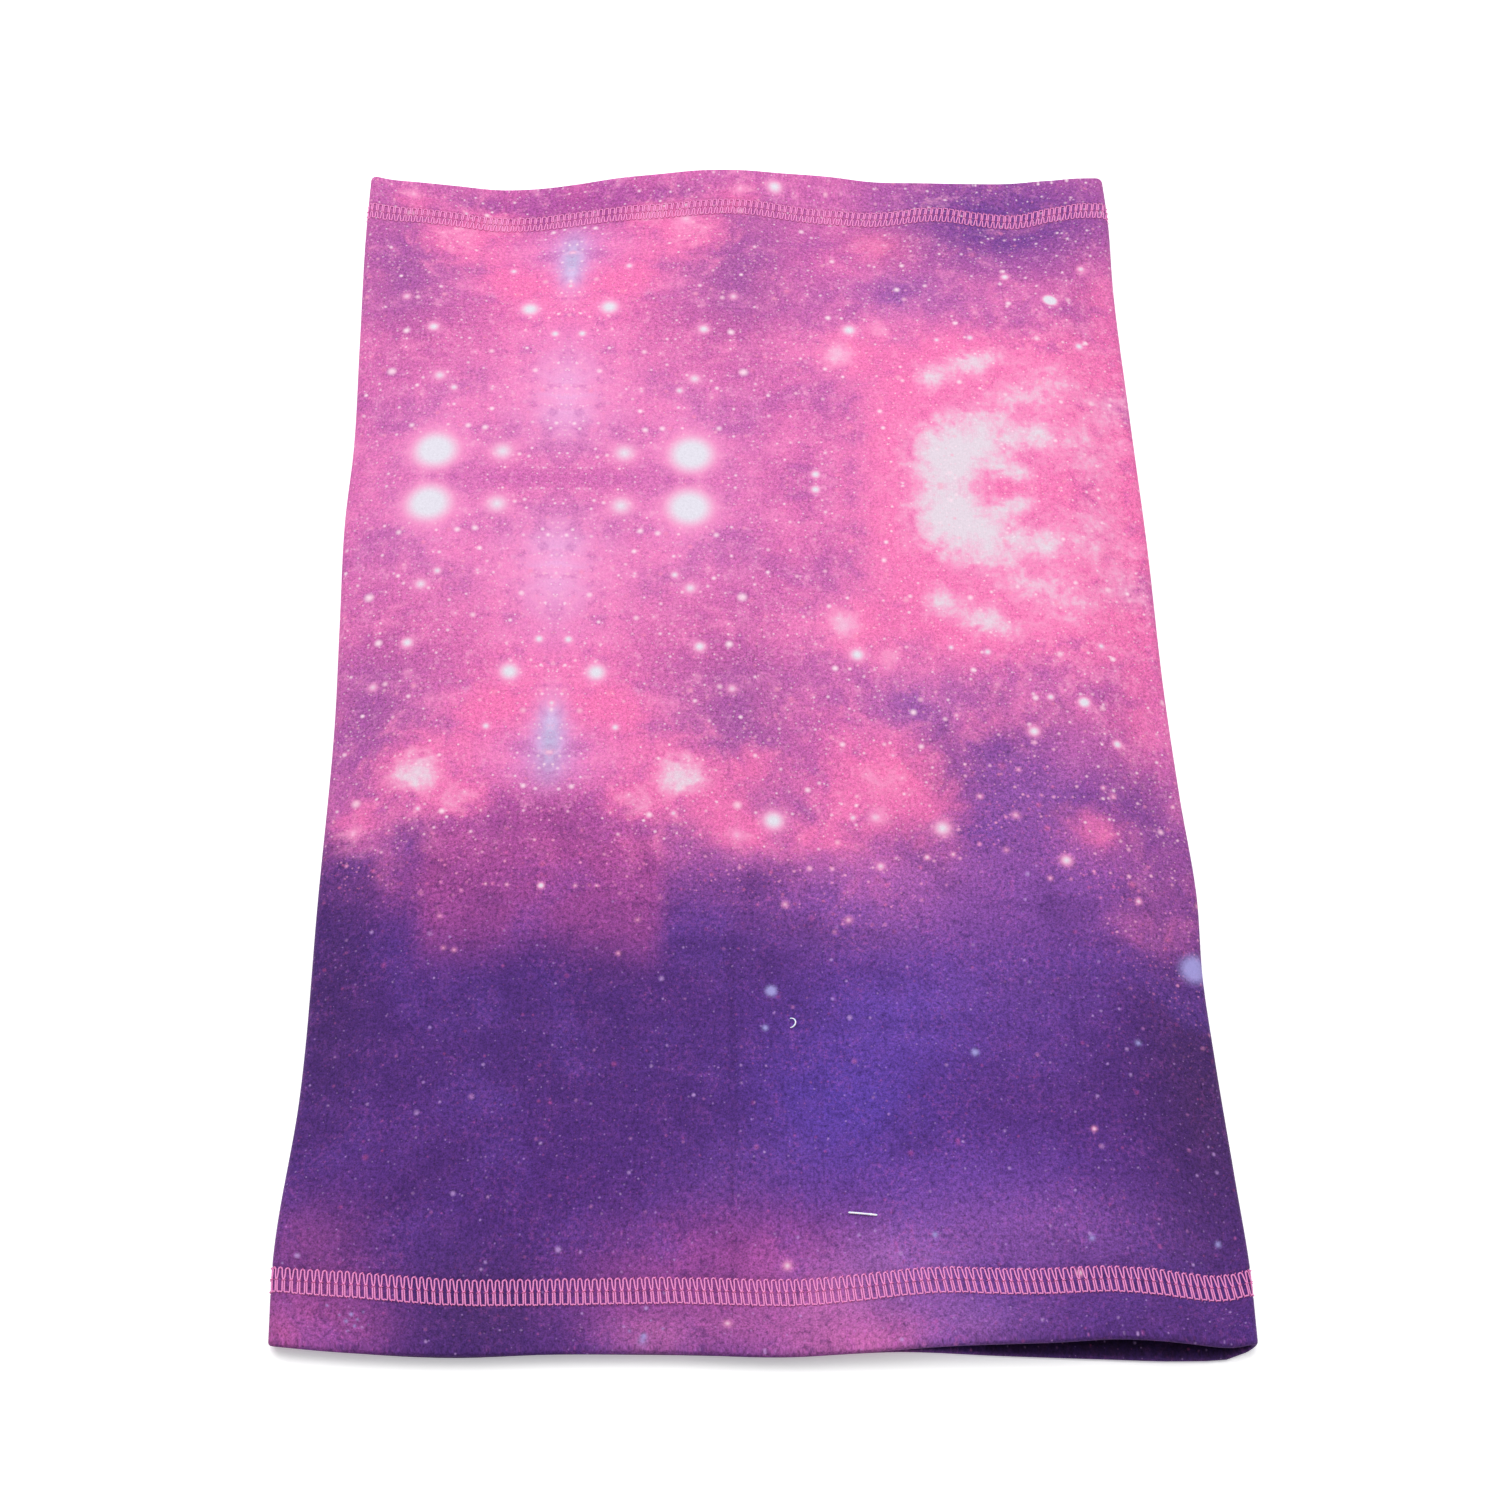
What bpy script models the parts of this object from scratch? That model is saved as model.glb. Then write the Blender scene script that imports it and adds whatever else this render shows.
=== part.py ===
"""Neck gaiter laid flat: a stretch-knit tube with a centre back seam and a coverstitched hem at each end.

Run it with blender --background --python part.py, or from Blender's text editor. Metres, +Z up: X runs
across the laid tube, Y runs along it from the lower mouth to the upper one, and the back layer lies on z = 0.
"""

import math

import bmesh
import bpy

# Driving dimensions, in metres.
WIDTH = 0.250  # fold to fold, laid flat
LENGTH = 0.410  # mouth to mouth
LAID_HEIGHT = 0.0104  # over both layers in the middle
FOLD_HEIGHT = 0.0056  # over the side folds, which are half round
PLATEAU = 0.196  # width over which the front layer lies level

FABRIC = 0.0008  # thickness of one ply
PLY_GAP = 0.0002  # between two plies of the panel where they lie together
CLEARANCE = 0.0003  # between a thread and the cloth that it presses into
THREAD = 0.0002  # thickness of a flattened sewing thread
THREAD_RECESS = 0.00005  # how far a thread lies below the surface of the cloth

HEM_DEPTH = 0.0230  # how far each mouth's edge is turned in
STITCH_INSET = 0.0172  # from a mouth to the middle of its stitching
NEEDLE_SPACING = 0.0032  # between neighbouring needles of the coverstitch
NEEDLE_THREAD_WIDTH = 0.0005
LOOPER_OVERHANG = 0.0003  # how far the looper thread reaches past the outer needles
DIP_MARGIN = 0.0004  # flat floor of the pressed channel beyond the looper thread
DIP_RAMP = 0.0010  # slope at each side of the channel

SEAM_X = -0.0075  # centre back seam
SEAM_ALLOWANCE = 0.0060
SEAM_END = 0.0250  # from a mouth to the trimmed end of the seam allowances
SEAM_RAMP = 0.0040  # over which the two lips close up between the allowances and the hem
LIP_RADIUS = 0.0003  # inside radius of the left lip's bends

TAG_BAR_AT = (0.0260, -0.1696)  # middle of the tag pin's bar on the front layer
TAG_BAR_LENGTH = 0.0076
TAG_BAR_DIAMETER = 0.0009
TAG_BAR_TURN = math.radians(-6)
TAG_END_AT = (0.0087, -0.1166)  # where the tag pin's filament comes up through the front layer
TAG_END_RADIUS = 0.0013
TAG_END_DIAMETER = 0.0005

# Sizes that follow from the ones above.
HEM_FOLD_RADIUS = PLY_GAP / 2  # of the cloth's wrong side, round the turned edge
DIP_PLY = FABRIC - CLEARANCE - THREAD - THREAD_RECESS  # thickness left under the stitching
DIP_HALF = NEEDLE_SPACING + LOOPER_OVERHANG + DIP_MARGIN
FOLD_RADIUS = FOLD_HEIGHT / 2
FOLD_X = WIDTH / 2 - FOLD_RADIUS
INNER_PLY = FABRIC + PLY_GAP  # depth of the turned-in ply's wrong side below the outer face
RIGHT_ALLOWANCE_Z = FABRIC + 2 * CLEARANCE + THREAD
LEFT_ALLOWANCE_Z = RIGHT_ALLOWANCE_Z + 2 * FABRIC + PLY_GAP
SEAM_THREAD_Z = LEFT_ALLOWANCE_Z + CLEARANCE + THREAD / 2
SEAM_HALF_LENGTH = LENGTH / 2 - SEAM_END

PRINT_PURPLE = (0.42, 0.12, 0.40, 1.0)
THREAD_PINK = (0.80, 0.22, 0.44, 1.0)
NYLON_WHITE = (0.88, 0.86, 0.90, 1.0)

FOLD_STEPS = 10
SLOPE_STEPS = 6
PLATEAU_STEPS = 4
REAR_STEPS = 3
BEND_STEPS = 4
HEM_FOLD_STEPS = 6


def clear_scene():
    for obj in list(bpy.data.objects):
        bpy.data.objects.remove(obj, do_unlink=True)


def new_collection(name):
    collection = bpy.data.collections.new(name)
    bpy.context.scene.collection.children.link(collection)
    return collection


def principled(name, colour, roughness, metallic=0.0):
    material = bpy.data.materials.new(name)
    material.use_nodes = True
    shader = material.node_tree.nodes["Principled BSDF"]
    shader.inputs["Base Color"].default_value = colour
    shader.inputs["Roughness"].default_value = roughness
    shader.inputs["Metallic"].default_value = metallic
    material.diffuse_color = colour
    return material


def spread(first, last, steps):
    """Steps + 1 even values from first to last."""
    return [first + (last - first) * i / steps for i in range(steps + 1)]


def arc(x, z, radius, start, end, steps):
    """Points round (x, z) between two angles in degrees."""
    angles = [math.radians(a) for a in spread(start, end, steps)]
    return [(x + radius * math.cos(a), z + radius * math.sin(a)) for a in angles]


def front_height(x):
    """Height of the front layer's outer face: level in the middle, easing down to the side folds."""
    beyond = max(0.0, abs(x) - PLATEAU / 2) / (FOLD_X - PLATEAU / 2)
    return FOLD_HEIGHT + (LAID_HEIGHT - FOLD_HEIGHT) * (1 + math.cos(math.pi * min(1.0, beyond))) / 2


def wall_section(depth, left_lip, right_lip):
    """Points (x, z) once round the tube, at a depth below its outer face.

    They run from the left lip of the back seam over the left fold, the front layer and the right fold to
    the seam's right lip.
    """
    front_xs = (
        spread(-FOLD_X, -PLATEAU / 2, SLOPE_STEPS)[1:]
        + spread(-PLATEAU / 2, PLATEAU / 2, PLATEAU_STEPS)[1:-1]
        + spread(PLATEAU / 2, FOLD_X, SLOPE_STEPS)[:-1]
    )
    points = [(x, depth) for x in spread(left_lip, -FOLD_X, REAR_STEPS)[:-1]]
    points += arc(-FOLD_X, FOLD_RADIUS, FOLD_RADIUS - depth, 270, 90, FOLD_STEPS)
    points += [(x, front_height(x) - depth) for x in front_xs]
    points += arc(FOLD_X, FOLD_RADIUS, FOLD_RADIUS - depth, 90, -90, FOLD_STEPS)
    points += [(x, depth) for x in spread(FOLD_X, right_lip, REAR_STEPS)[1:]]
    return points


def left_allowance_section():
    """The left allowance's wrong side: from its raw edge back over the seam and down to the back layer."""
    wall_x = SEAM_X - PLY_GAP - FABRIC
    outer = LIP_RADIUS + FABRIC
    points = [(x, LEFT_ALLOWANCE_Z) for x in spread(SEAM_X + SEAM_ALLOWANCE, wall_x + outer, 2)[:-1]]
    points += arc(wall_x + outer, LEFT_ALLOWANCE_Z - outer, outer, 90, 180, BEND_STEPS)
    points += arc(wall_x - LIP_RADIUS, FABRIC + LIP_RADIUS, LIP_RADIUS, 0, -90, BEND_STEPS)
    return points


def right_allowance_section():
    """The right allowance's wrong side: from the back layer round its turn and out to its raw edge."""
    radius = (RIGHT_ALLOWANCE_Z - FABRIC) / 2
    turn_x = SEAM_X + radius + FABRIC
    points = arc(turn_x, FABRIC + radius, radius, -90, -270, BEND_STEPS + 1)
    points += [(x, RIGHT_ALLOWANCE_Z) for x in spread(turn_x, SEAM_X + SEAM_ALLOWANCE, 2)[1:]]
    return points


def hem_rows():
    """Rows (y, depth, pressed) from the turned-in raw edge of one hem, round its fold, to the seam's end.

    y is the distance from the mouth, depth is that of the cloth's wrong side, and pressed says whether the
    row lies under the stitching.
    """
    channel = [
        (STITCH_INSET + DIP_HALF + DIP_RAMP, False),
        (STITCH_INSET + DIP_HALF, True),
        (STITCH_INSET - DIP_HALF, True),
        (STITCH_INSET - DIP_HALF - DIP_RAMP, False),
    ]
    rows = [(y, INNER_PLY, pressed) for y, pressed in [(HEM_DEPTH, False)] + channel]
    centre_y = FABRIC + HEM_FOLD_RADIUS
    centre_depth = FABRIC + HEM_FOLD_RADIUS
    for depth_part, y_part in arc(0, 0, HEM_FOLD_RADIUS, 0, 180, HEM_FOLD_STEPS):
        rows.append((centre_y - y_part, centre_depth + depth_part, False))
    rows += [(y, FABRIC, pressed) for y, pressed in reversed(channel)]
    return rows


def panel_rows():
    """Rows (y, depth, pressed, seamed) of the whole panel; seamed rows carry the seam allowances."""
    lower = [(-LENGTH / 2 + y, depth, pressed, False) for y, depth, pressed in hem_rows()]
    upper = [(-y, depth, pressed, False) for y, depth, pressed, _ in reversed(lower)]
    lower.append((-SEAM_HALF_LENGTH - SEAM_RAMP / 2, FABRIC, False, False))
    upper.insert(0, (SEAM_HALF_LENGTH + SEAM_RAMP / 2, FABRIC, False, False))
    middle = [(y, FABRIC, False, True) for y in spread(-SEAM_HALF_LENGTH, SEAM_HALF_LENGTH, 4)]
    return lower + middle + upper


def grid_object(name, collection, rows, closed=False):
    """A sheet through rows of points; None in a row leaves a notch there."""
    mesh = bmesh.new()
    grid = [[mesh.verts.new(point) if point else None for point in row] for row in rows]
    columns = len(rows[0])
    for lower, upper in zip(grid, grid[1:]):
        for i in range(columns if closed else columns - 1):
            j = (i + 1) % columns
            corners = (lower[i], lower[j], upper[j], upper[i])
            if None not in corners:
                mesh.faces.new(corners)
    data = bpy.data.meshes.new(name)
    mesh.to_mesh(data)
    mesh.free()
    obj = bpy.data.objects.new(name, data)
    collection.objects.link(obj)
    return obj


def solidify(obj, thickness, offset):
    modifier = obj.modifiers.new("Thickness", "SOLIDIFY")
    modifier.thickness = thickness
    modifier.offset = offset
    modifier.use_even_offset = True
    return modifier


def tube_panel(collection, material):
    """The printed knit, one piece: rolled into a tube, seamed at the back, each mouth turned in.

    The sheet is the cloth's wrong side, and the thickness grows from it to the printed right side.
    """
    left = left_allowance_section()
    right = right_allowance_section()
    hem_lips = (SEAM_X - CLEARANCE / 2, SEAM_X + CLEARANCE / 2)
    rows = []
    pressed_rows = []
    for index, (y, depth, pressed, seamed) in enumerate(panel_rows()):
        if seamed:
            wall = wall_section(depth, left[-1][0], right[0][0])
            section = left[:-1] + wall + right[1:]
        else:
            wall = wall_section(depth, *hem_lips)
            section = [None] * (len(left) - 1) + wall + [None] * (len(right) - 1)
        rows.append([(p[0], y, p[1]) if p else None for p in section])
        if pressed:
            pressed_rows.append(index)
    obj = grid_object("tube_panel", collection, rows)
    full = obj.vertex_groups.new(name="full_thickness")
    counts = [sum(point is not None for point in row) for row in rows]
    for index, count in enumerate(counts):
        if index not in pressed_rows:
            start = sum(counts[:index])
            full.add(list(range(start, start + count)), 1.0, "REPLACE")
    modifier = solidify(obj, FABRIC, 1.0)
    modifier.vertex_group = full.name
    modifier.thickness_vertex_group = DIP_PLY / FABRIC
    obj.data.materials.append(material)
    return obj


def thread_ring(name, collection, material, y_middle, width, depth):
    """A flattened thread that runs once round the tube, its outer face at a depth in the wall."""
    section = wall_section(depth, SEAM_X - CLEARANCE / 2, SEAM_X + CLEARANCE / 2)
    rows = [[(x, y, z) for x, z in section] for y in (y_middle - width / 2, y_middle + width / 2)]
    obj = grid_object(name, collection, rows, closed=True)
    solidify(obj, THREAD, -1.0)
    obj.data.materials.append(material)
    return obj


def hem_threads(collection, material, prefix, y_middle):
    """The coverstitch of one hem: the looper thread outside, three needle threads inside."""
    needles = {1: -NEEDLE_SPACING, 2: 0.0, 3: NEEDLE_SPACING}
    looper_width = 2 * (NEEDLE_SPACING + LOOPER_OVERHANG)
    thread_ring(prefix + "_looper_thread", collection, material, y_middle, looper_width, THREAD_RECESS)
    inside_depth = INNER_PLY + DIP_PLY + CLEARANCE
    for number, offset in needles.items():
        name = f"{prefix}_needle_thread_{number}"
        thread_ring(name, collection, material, y_middle + offset, NEEDLE_THREAD_WIDTH, inside_depth)


def thread_strip(name, collection, material, x_start, x_end, z_middle):
    """A flattened thread along the back seam."""
    bpy.ops.mesh.primitive_cube_add(size=1, location=((x_start + x_end) / 2, 0, z_middle))
    obj = bpy.context.object
    obj.name = name
    obj.data.name = name
    size = (x_end - x_start, 2 * (SEAM_HALF_LENGTH - CLEARANCE), THREAD)
    for vertex in obj.data.vertices:
        vertex.co = [co * side for co, side in zip(vertex.co, size)]
    for other in obj.users_collection:
        other.objects.unlink(obj)
    collection.objects.link(obj)
    obj.data.materials.append(material)
    return obj


def seam_threads(collection, material):
    """The back seam's overlock: a needle thread on top, and a looper thread above and below the allowances."""
    raw_edge = SEAM_X + SEAM_ALLOWANCE
    needle_x = SEAM_X + 0.0012
    looper_x = needle_x + NEEDLE_THREAD_WIDTH + CLEARANCE
    lower_z = FABRIC + CLEARANCE + THREAD / 2
    lower_x = SEAM_X + 0.0020
    needle_end = needle_x + NEEDLE_THREAD_WIDTH
    thread_strip("back_seam_needle_thread", collection, material, needle_x, needle_end, SEAM_THREAD_Z)
    thread_strip("back_seam_upper_looper_thread", collection, material, looper_x, raw_edge, SEAM_THREAD_Z)
    thread_strip("back_seam_lower_looper_thread", collection, material, lower_x, raw_edge, lower_z)


def rod(name, collection, material, points, diameter):
    """A round rod through points."""
    curve = bpy.data.curves.new(name, "CURVE")
    curve.dimensions = "3D"
    curve.bevel_depth = diameter / 2
    curve.bevel_resolution = 2
    curve.use_fill_caps = True
    spline = curve.splines.new("POLY")
    spline.points.add(len(points) - 1)
    for point, place in zip(spline.points, points):
        point.co = (*place, 1.0)
    obj = bpy.data.objects.new(name, curve)
    collection.objects.link(obj)
    curve.materials.append(material)
    return obj


def tag_pin(collection, material):
    """The ends of a nylon tag pin that show on the front layer: its bar, and a loop of its filament."""
    bar = rod(
        "tag_pin_bar",
        collection,
        material,
        [(x, 0.0, 0.0) for x in spread(-TAG_BAR_LENGTH / 2, TAG_BAR_LENGTH / 2, 2)],
        TAG_BAR_DIAMETER,
    )
    bar.location = (*TAG_BAR_AT, LAID_HEIGHT + CLEARANCE + TAG_BAR_DIAMETER / 2)
    bar.rotation_euler = (0.0, 0.0, TAG_BAR_TURN)
    bow = arc(0.0, 0.0, TAG_END_RADIUS, -65, 65, 6)
    end = rod("tag_pin_filament", collection, material, [(x, y, 0.0) for x, y in bow], TAG_END_DIAMETER)
    end.location = (*TAG_END_AT, LAID_HEIGHT + CLEARANCE + TAG_END_DIAMETER / 2)


def main():
    clear_scene()
    gaiter = new_collection("neck_gaiter")
    cloth = principled("printed_knit", PRINT_PURPLE, 0.9)
    thread = principled("pink_sewing_thread", THREAD_PINK, 0.65)
    nylon = principled("clear_nylon", NYLON_WHITE, 0.35)
    tube_panel(gaiter, cloth)
    hem_threads(gaiter, thread, "lower_hem", -LENGTH / 2 + STITCH_INSET)
    hem_threads(gaiter, thread, "upper_hem", LENGTH / 2 - STITCH_INSET)
    seam_threads(gaiter, thread)
    tag_pin(gaiter, nylon)


main()
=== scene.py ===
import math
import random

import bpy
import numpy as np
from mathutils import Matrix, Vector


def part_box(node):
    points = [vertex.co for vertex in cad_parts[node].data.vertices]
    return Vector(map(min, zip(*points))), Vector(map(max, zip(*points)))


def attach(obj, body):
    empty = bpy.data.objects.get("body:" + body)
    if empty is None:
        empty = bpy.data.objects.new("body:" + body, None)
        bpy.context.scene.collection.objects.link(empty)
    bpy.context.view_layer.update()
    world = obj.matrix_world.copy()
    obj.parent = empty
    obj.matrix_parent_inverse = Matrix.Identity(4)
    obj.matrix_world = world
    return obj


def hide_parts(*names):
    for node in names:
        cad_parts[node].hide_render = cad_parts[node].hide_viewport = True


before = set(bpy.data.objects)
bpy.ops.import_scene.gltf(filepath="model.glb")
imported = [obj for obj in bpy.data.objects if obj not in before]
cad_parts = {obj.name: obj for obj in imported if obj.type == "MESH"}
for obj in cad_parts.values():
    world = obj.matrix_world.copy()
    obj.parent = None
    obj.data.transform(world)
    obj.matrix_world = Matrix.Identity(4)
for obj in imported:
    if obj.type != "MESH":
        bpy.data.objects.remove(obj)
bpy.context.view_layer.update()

# Neck gaiter laid flat: how it looks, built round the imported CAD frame.
#
# The CAD gives the sizes; this script makes the cloth, its stitching and the tag pin as they really are.
# Lengths are in millimetres until a mesh is made. X runs across the tube, Y along it from the near mouth
# to the far one, and the back layer lies on z = 0. A point of the tube is given by u, the way round it
# from the seam's left lip, by y along it, and by its depth below the tube's outer face.

MM = 0.001
random.seed(7)


def box_mm(node):
    """A CAD node's lowest corner, highest corner and middle, in millimetres."""
    low, high = (np.array(corner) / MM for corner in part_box(node))
    return low, high, (low + high) / 2


# Sizes read from the frame.
PANEL_LOW, PANEL_HIGH, _ = box_mm("tube_panel")
LOOPER_MIDDLE = box_mm("lower_hem_looper_thread")[2]
OUTER_NEEDLE_MIDDLE = box_mm("lower_hem_needle_thread_1")[2]
CENTRE_NEEDLE_MIDDLE = box_mm("lower_hem_needle_thread_2")[2]
SEAM_NEEDLE_LOW, SEAM_NEEDLE_HIGH, SEAM_NEEDLE_MIDDLE = box_mm("back_seam_needle_thread")
SEAM_LOOPER_HIGH = box_mm("back_seam_upper_looper_thread")[1]
SEAM_UNDER_LOW, SEAM_UNDER_HIGH, _ = box_mm("back_seam_lower_looper_thread")
BAR_LOW, BAR_HIGH, BAR_MIDDLE = box_mm("tag_pin_bar")
BOW_LOW, BOW_HIGH, BOW_MIDDLE = box_mm("tag_pin_filament")

NEEDLE_FROM_SEAM = 1.2
HALF_WIDTH, HALF_LENGTH, _ = (PANEL_HIGH - PANEL_LOW) / 2
LAID_HEIGHT = PANEL_HIGH[2]
STITCH_INSET = LOOPER_MIDDLE[1] - PANEL_LOW[1]
NEEDLE_SPACING = CENTRE_NEEDLE_MIDDLE[1] - OUTER_NEEDLE_MIDDLE[1]
SEAM_X = SEAM_NEEDLE_LOW[0] - NEEDLE_FROM_SEAM
SEAM_EDGE_X = SEAM_LOOPER_HIGH[0]
SEAM_HALF_LENGTH = SEAM_NEEDLE_HIGH[1]

# Sizes of the cloth, as in the CAD.
FABRIC = 0.8
PLY_GAP = 0.2
FOLD_RADIUS = 2.8
HEM_DEPTH = 23.0
CHANNEL_HALF = 3.9
PRESSED = 0.22
FOLD_X = HALF_WIDTH - FOLD_RADIUS
ARC = math.pi * FOLD_RADIUS
LEFT_REAR = SEAM_X + FOLD_X
PERIMETER = 4 * FOLD_X + 2 * ARC
FRONT_MIDDLE = LEFT_REAR + ARC + FOLD_X
FOLD_HEIGHT = 2 * FOLD_RADIUS
HEM_TURN = FABRIC + PLY_GAP / 2


def curve(points):
    """A smooth curve through (place, value) pairs, level beyond its ends."""
    places, values = np.array(points, float).T
    slopes = np.gradient(values, places)

    def at(x):
        x = np.clip(x, places[0], places[-1])
        i = np.clip(np.searchsorted(places, x) - 1, 0, len(places) - 2)
        span = places[i + 1] - places[i]
        t = (x - places[i]) / span
        ease = t * t * (3 - 2 * t)
        first = span * slopes[i] * t * (1 - t) ** 2
        last = span * slopes[i + 1] * t * t * (t - 1)
        return values[i] + (values[i + 1] - values[i]) * ease + first + last

    return at


# The laid shape: each curve's pairs are a place and the value there. First the outline's two sides, along
# the tube; then, across it, how far each mouth reaches out, its height, and its stitching's wander.
left_side = curve([
    (-205, -125.1), (-183, -125.8), (-136, -122.6), (-75, -122.3), (-15, -121.9), (20, -123.0),
    (59, -124.1), (85, -123.4), (130, -124.4), (180, -125.6), (205, -125.5),
])
right_side = curve([
    (-205, 125.6), (-185, 126.1), (-161, 125.3), (-126, 124.1), (-101, 123.7), (-76, 125.0), (-43, 123.9),
    (-8, 123.3), (49, 124.0), (100, 123.8), (156, 123.9), (185, 125.1), (205, 125.0),
])
near_front_reach = curve([
    (-125, -1.4), (-110, 0.2), (-80, 1.8), (-50, 1.5), (-29, 1.6), (9, 2.9), (24, 2.3), (46, 1.3),
    (74, 0.8), (88, 0.3), (107, 1.4), (120, 1.4), (125, 0.3),
])
near_rear_reach = curve([
    (-125, -2.6), (-110, -1.1), (-79, 0.9), (-54, 0.3), (-29, 0.6), (9, 1.4), (34, 0.5), (60, 1.8),
    (85, 2.9), (108, 3.6), (118, 3.1), (125, 0.3),
])
far_front_reach = curve([
    (-125, 0.4), (-120, -1.2), (-108, -3.1), (-95, -4.5), (-81, -5.5), (-68, -5.1), (-54, -3.9),
    (-41, -2.5), (-27, -1.5), (-13, -0.6), (0, -0.5), (14, -1.3), (31, -2.0), (45, -3.1), (62, -3.3),
    (79, -3.5), (93, -3.4), (106, -2.4), (119, 0.3), (125, 0.6),
])
far_rear_reach = curve([(-125, -0.5), (-81, -2.8), (-40, -1.4), (0, -0.8), (60, -1.6), (125, 0.0)])
near_height = curve([
    (-125, 5.6), (-80, 5.5), (-29, 5.5), (9, 5.9), (24, 6.8), (46, 8.2), (74, 8.9), (90, 9.4), (107, 9.6),
    (116, 9.0), (125, 5.6),
])
far_height = curve([
    (-125, 5.6), (-108, 5.8), (-95, 5.4), (-81, 4.6), (-68, 4.8), (-54, 6.0), (-41, 7.5), (-27, 8.5),
    (-13, 9.5), (0, 9.6), (14, 9.0), (31, 8.0), (45, 6.8), (62, 6.6), (79, 6.5), (93, 6.6), (106, 7.6),
    (119, 8.0), (125, 5.6),
])
near_wander = curve([
    (-125, 0.2), (-100, 0.0), (-80, -1.0), (-50, -1.5), (-10, -1.0), (15, -1.0), (45, -0.2), (62, -1.2),
    (85, -1.6), (98, -2.0), (110, -2.4), (125, -1.2),
])
far_wander = curve([
    (-125, -1.0), (-100, -0.5), (-80, 0.6), (-50, 0.4), (-20, 0.9), (0, 0.5), (28, 2.8), (45, 1.6),
    (68, -1.4), (82, 1.0), (92, 2.0), (108, -0.6), (118, -1.4), (125, -1.2),
])
MIDDLE_HEIGHT = LAID_HEIGHT - 0.6
# Slow waves of the front layer: height, lengths across and along, phase.
WAVES = [(0.225, 36, -47, 0.5 + math.pi / 2), (0.225, 36, 47, 1.7 - math.pi / 2), (0.25, 17, -29, 2.0),
         (0.16, 11, 13, 0.0)]
# Ridges and, with negative heights, creases of the front layer: both ends, width, height. The first two are
# the back seam, which shows through.
CREASES = [
    ((SEAM_X + 0.9, -78), (SEAM_X + 1.7, -192), 1.2, 0.80),
    ((SEAM_X - 1.0, -78), (SEAM_X - 0.2, -192), 1.0, -0.60),
    ((-108, -174), (-70, -148), 4.0, -1.6),
    ((-98, -174), (-60, -149), 5.0, 0.9),
    ((-6, -86), (46, -95), 3.2, -1.4),
    ((-6, -92), (46, -101), 4.0, 0.7),
    ((20, -117), (64, -119), 3.0, -1.0),
    ((70, -108), (100, -104), 4.0, -1.0),
]
# Painted shade along the creases with negative heights, as a share of the cloth's darkening.
CREASE_SHADE = 0.9
SHOULDER = 24.0
MOUTH_DECAY = 56.0
# The stitching's wander: between which distances from the mouth it sets in and ends, and its share behind.
WANDER_STARTS, WANDER_ENDS = (6, 12), (26, 40)
REAR_WANDER = 0.35


def smooth(value, low, high):
    """0 below low, 1 above high, and an S-curve between."""
    t = np.clip((value - low) / (high - low), 0, 1)
    return t * t * (3 - 2 * t)


def crease(x, y, start, end, width):
    """Share of a soft ridge or crease along the line from start to end, which fades at its ends."""
    start, end = np.array(start, float), np.array(end, float)
    along = end - start
    t = np.clip(((x - start[0]) * along[0] + (y - start[1]) * along[1]) / (along @ along), 0, 1)
    away = np.hypot(x - start[0] - t * along[0], y - start[1] - t * along[1])
    return np.exp(-((away / width) ** 2)) * np.sin(math.pi * np.clip(0.08 + 0.84 * t, 0, 1))


def mouth_shares(y):
    """Shares of the near and the far mouth's shape, which fade towards the middle of the tube."""
    return [np.exp(-(((y - end * HALF_LENGTH) / MOUTH_DECAY) ** 2)) for end in (-1, 1)]


def front_height(x, y):
    """Height of the front layer's outer face."""
    middle = MIDDLE_HEIGHT + sum(h * np.sin(x / wide + y / long + phase) for h, wide, long, phase in WAVES)
    for start, end, width, height in CREASES:
        middle = middle + height * crease(x, y, start, end, width)
    near, far = mouth_shares(y)
    height = middle + (near_height(x) - middle) * near + (far_height(x) - middle) * far
    shoulder = 1 - smooth(np.abs(x), FOLD_X - SHOULDER, FOLD_X)
    return FOLD_HEIGHT + (height - FOLD_HEIGHT) * shoulder


def section(u):
    """Base place, outward direction and share of the front's height, for distances u round the tube."""
    u = np.asarray(u, float)
    a, b, c = LEFT_REAR, LEFT_REAR + ARC, LEFT_REAR + ARC + 2 * FOLD_X
    left_angle = 1.5 * math.pi - (u - a) / FOLD_RADIUS
    right_angle = 0.5 * math.pi - (u - c) / FOLD_RADIUS
    parts = [u < a, u < b, u < c, u < c + ARC]
    angle = np.select(parts, [-math.pi / 2, left_angle, math.pi / 2, right_angle], -math.pi / 2)
    middle = np.select(parts, [SEAM_X - u, -FOLD_X, u - b - FOLD_X, FOLD_X], FOLD_X - (u - c - ARC))
    nx, nz = np.cos(angle), np.sin(angle)
    return middle + FOLD_RADIUS * nx, FOLD_RADIUS * (1 + nz), nx, nz, (1 + nz) / 2


def bend(x, y, z, front):
    """Where a base point lies on the real tube; front is 1 on the front layer and 0 on the back layer."""
    near, far = mouth_shares(y)
    near_reach = front * near_front_reach(x) + (1 - front) * near_rear_reach(x)
    far_reach = front * far_front_reach(x) + (1 - front) * far_rear_reach(x)
    lift = front * (front_height(x, y) - FOLD_HEIGHT)
    for end, wander in ((-1, near_wander), (1, far_wander)):
        inset = HALF_LENGTH - end * y
        moves = smooth(inset, *WANDER_STARTS) * (1 - smooth(inset, *WANDER_ENDS))
        y = y - end * wander(x) * moves * (REAR_WANDER + (1 - REAR_WANDER) * front)
    middle = (left_side(y) + right_side(y)) / 2
    half = (right_side(y) - left_side(y)) / 2
    return np.stack([middle + x * half / HALF_WIDTH, y - near * near_reach + far * far_reach, z + lift], -1)


def place(u, y, depth):
    """Where a point of the tube lies, at a depth below its outer face."""
    x, z, nx, nz, front = section(u)
    return bend(x - nx * depth, y, z - nz * depth, front)


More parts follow.
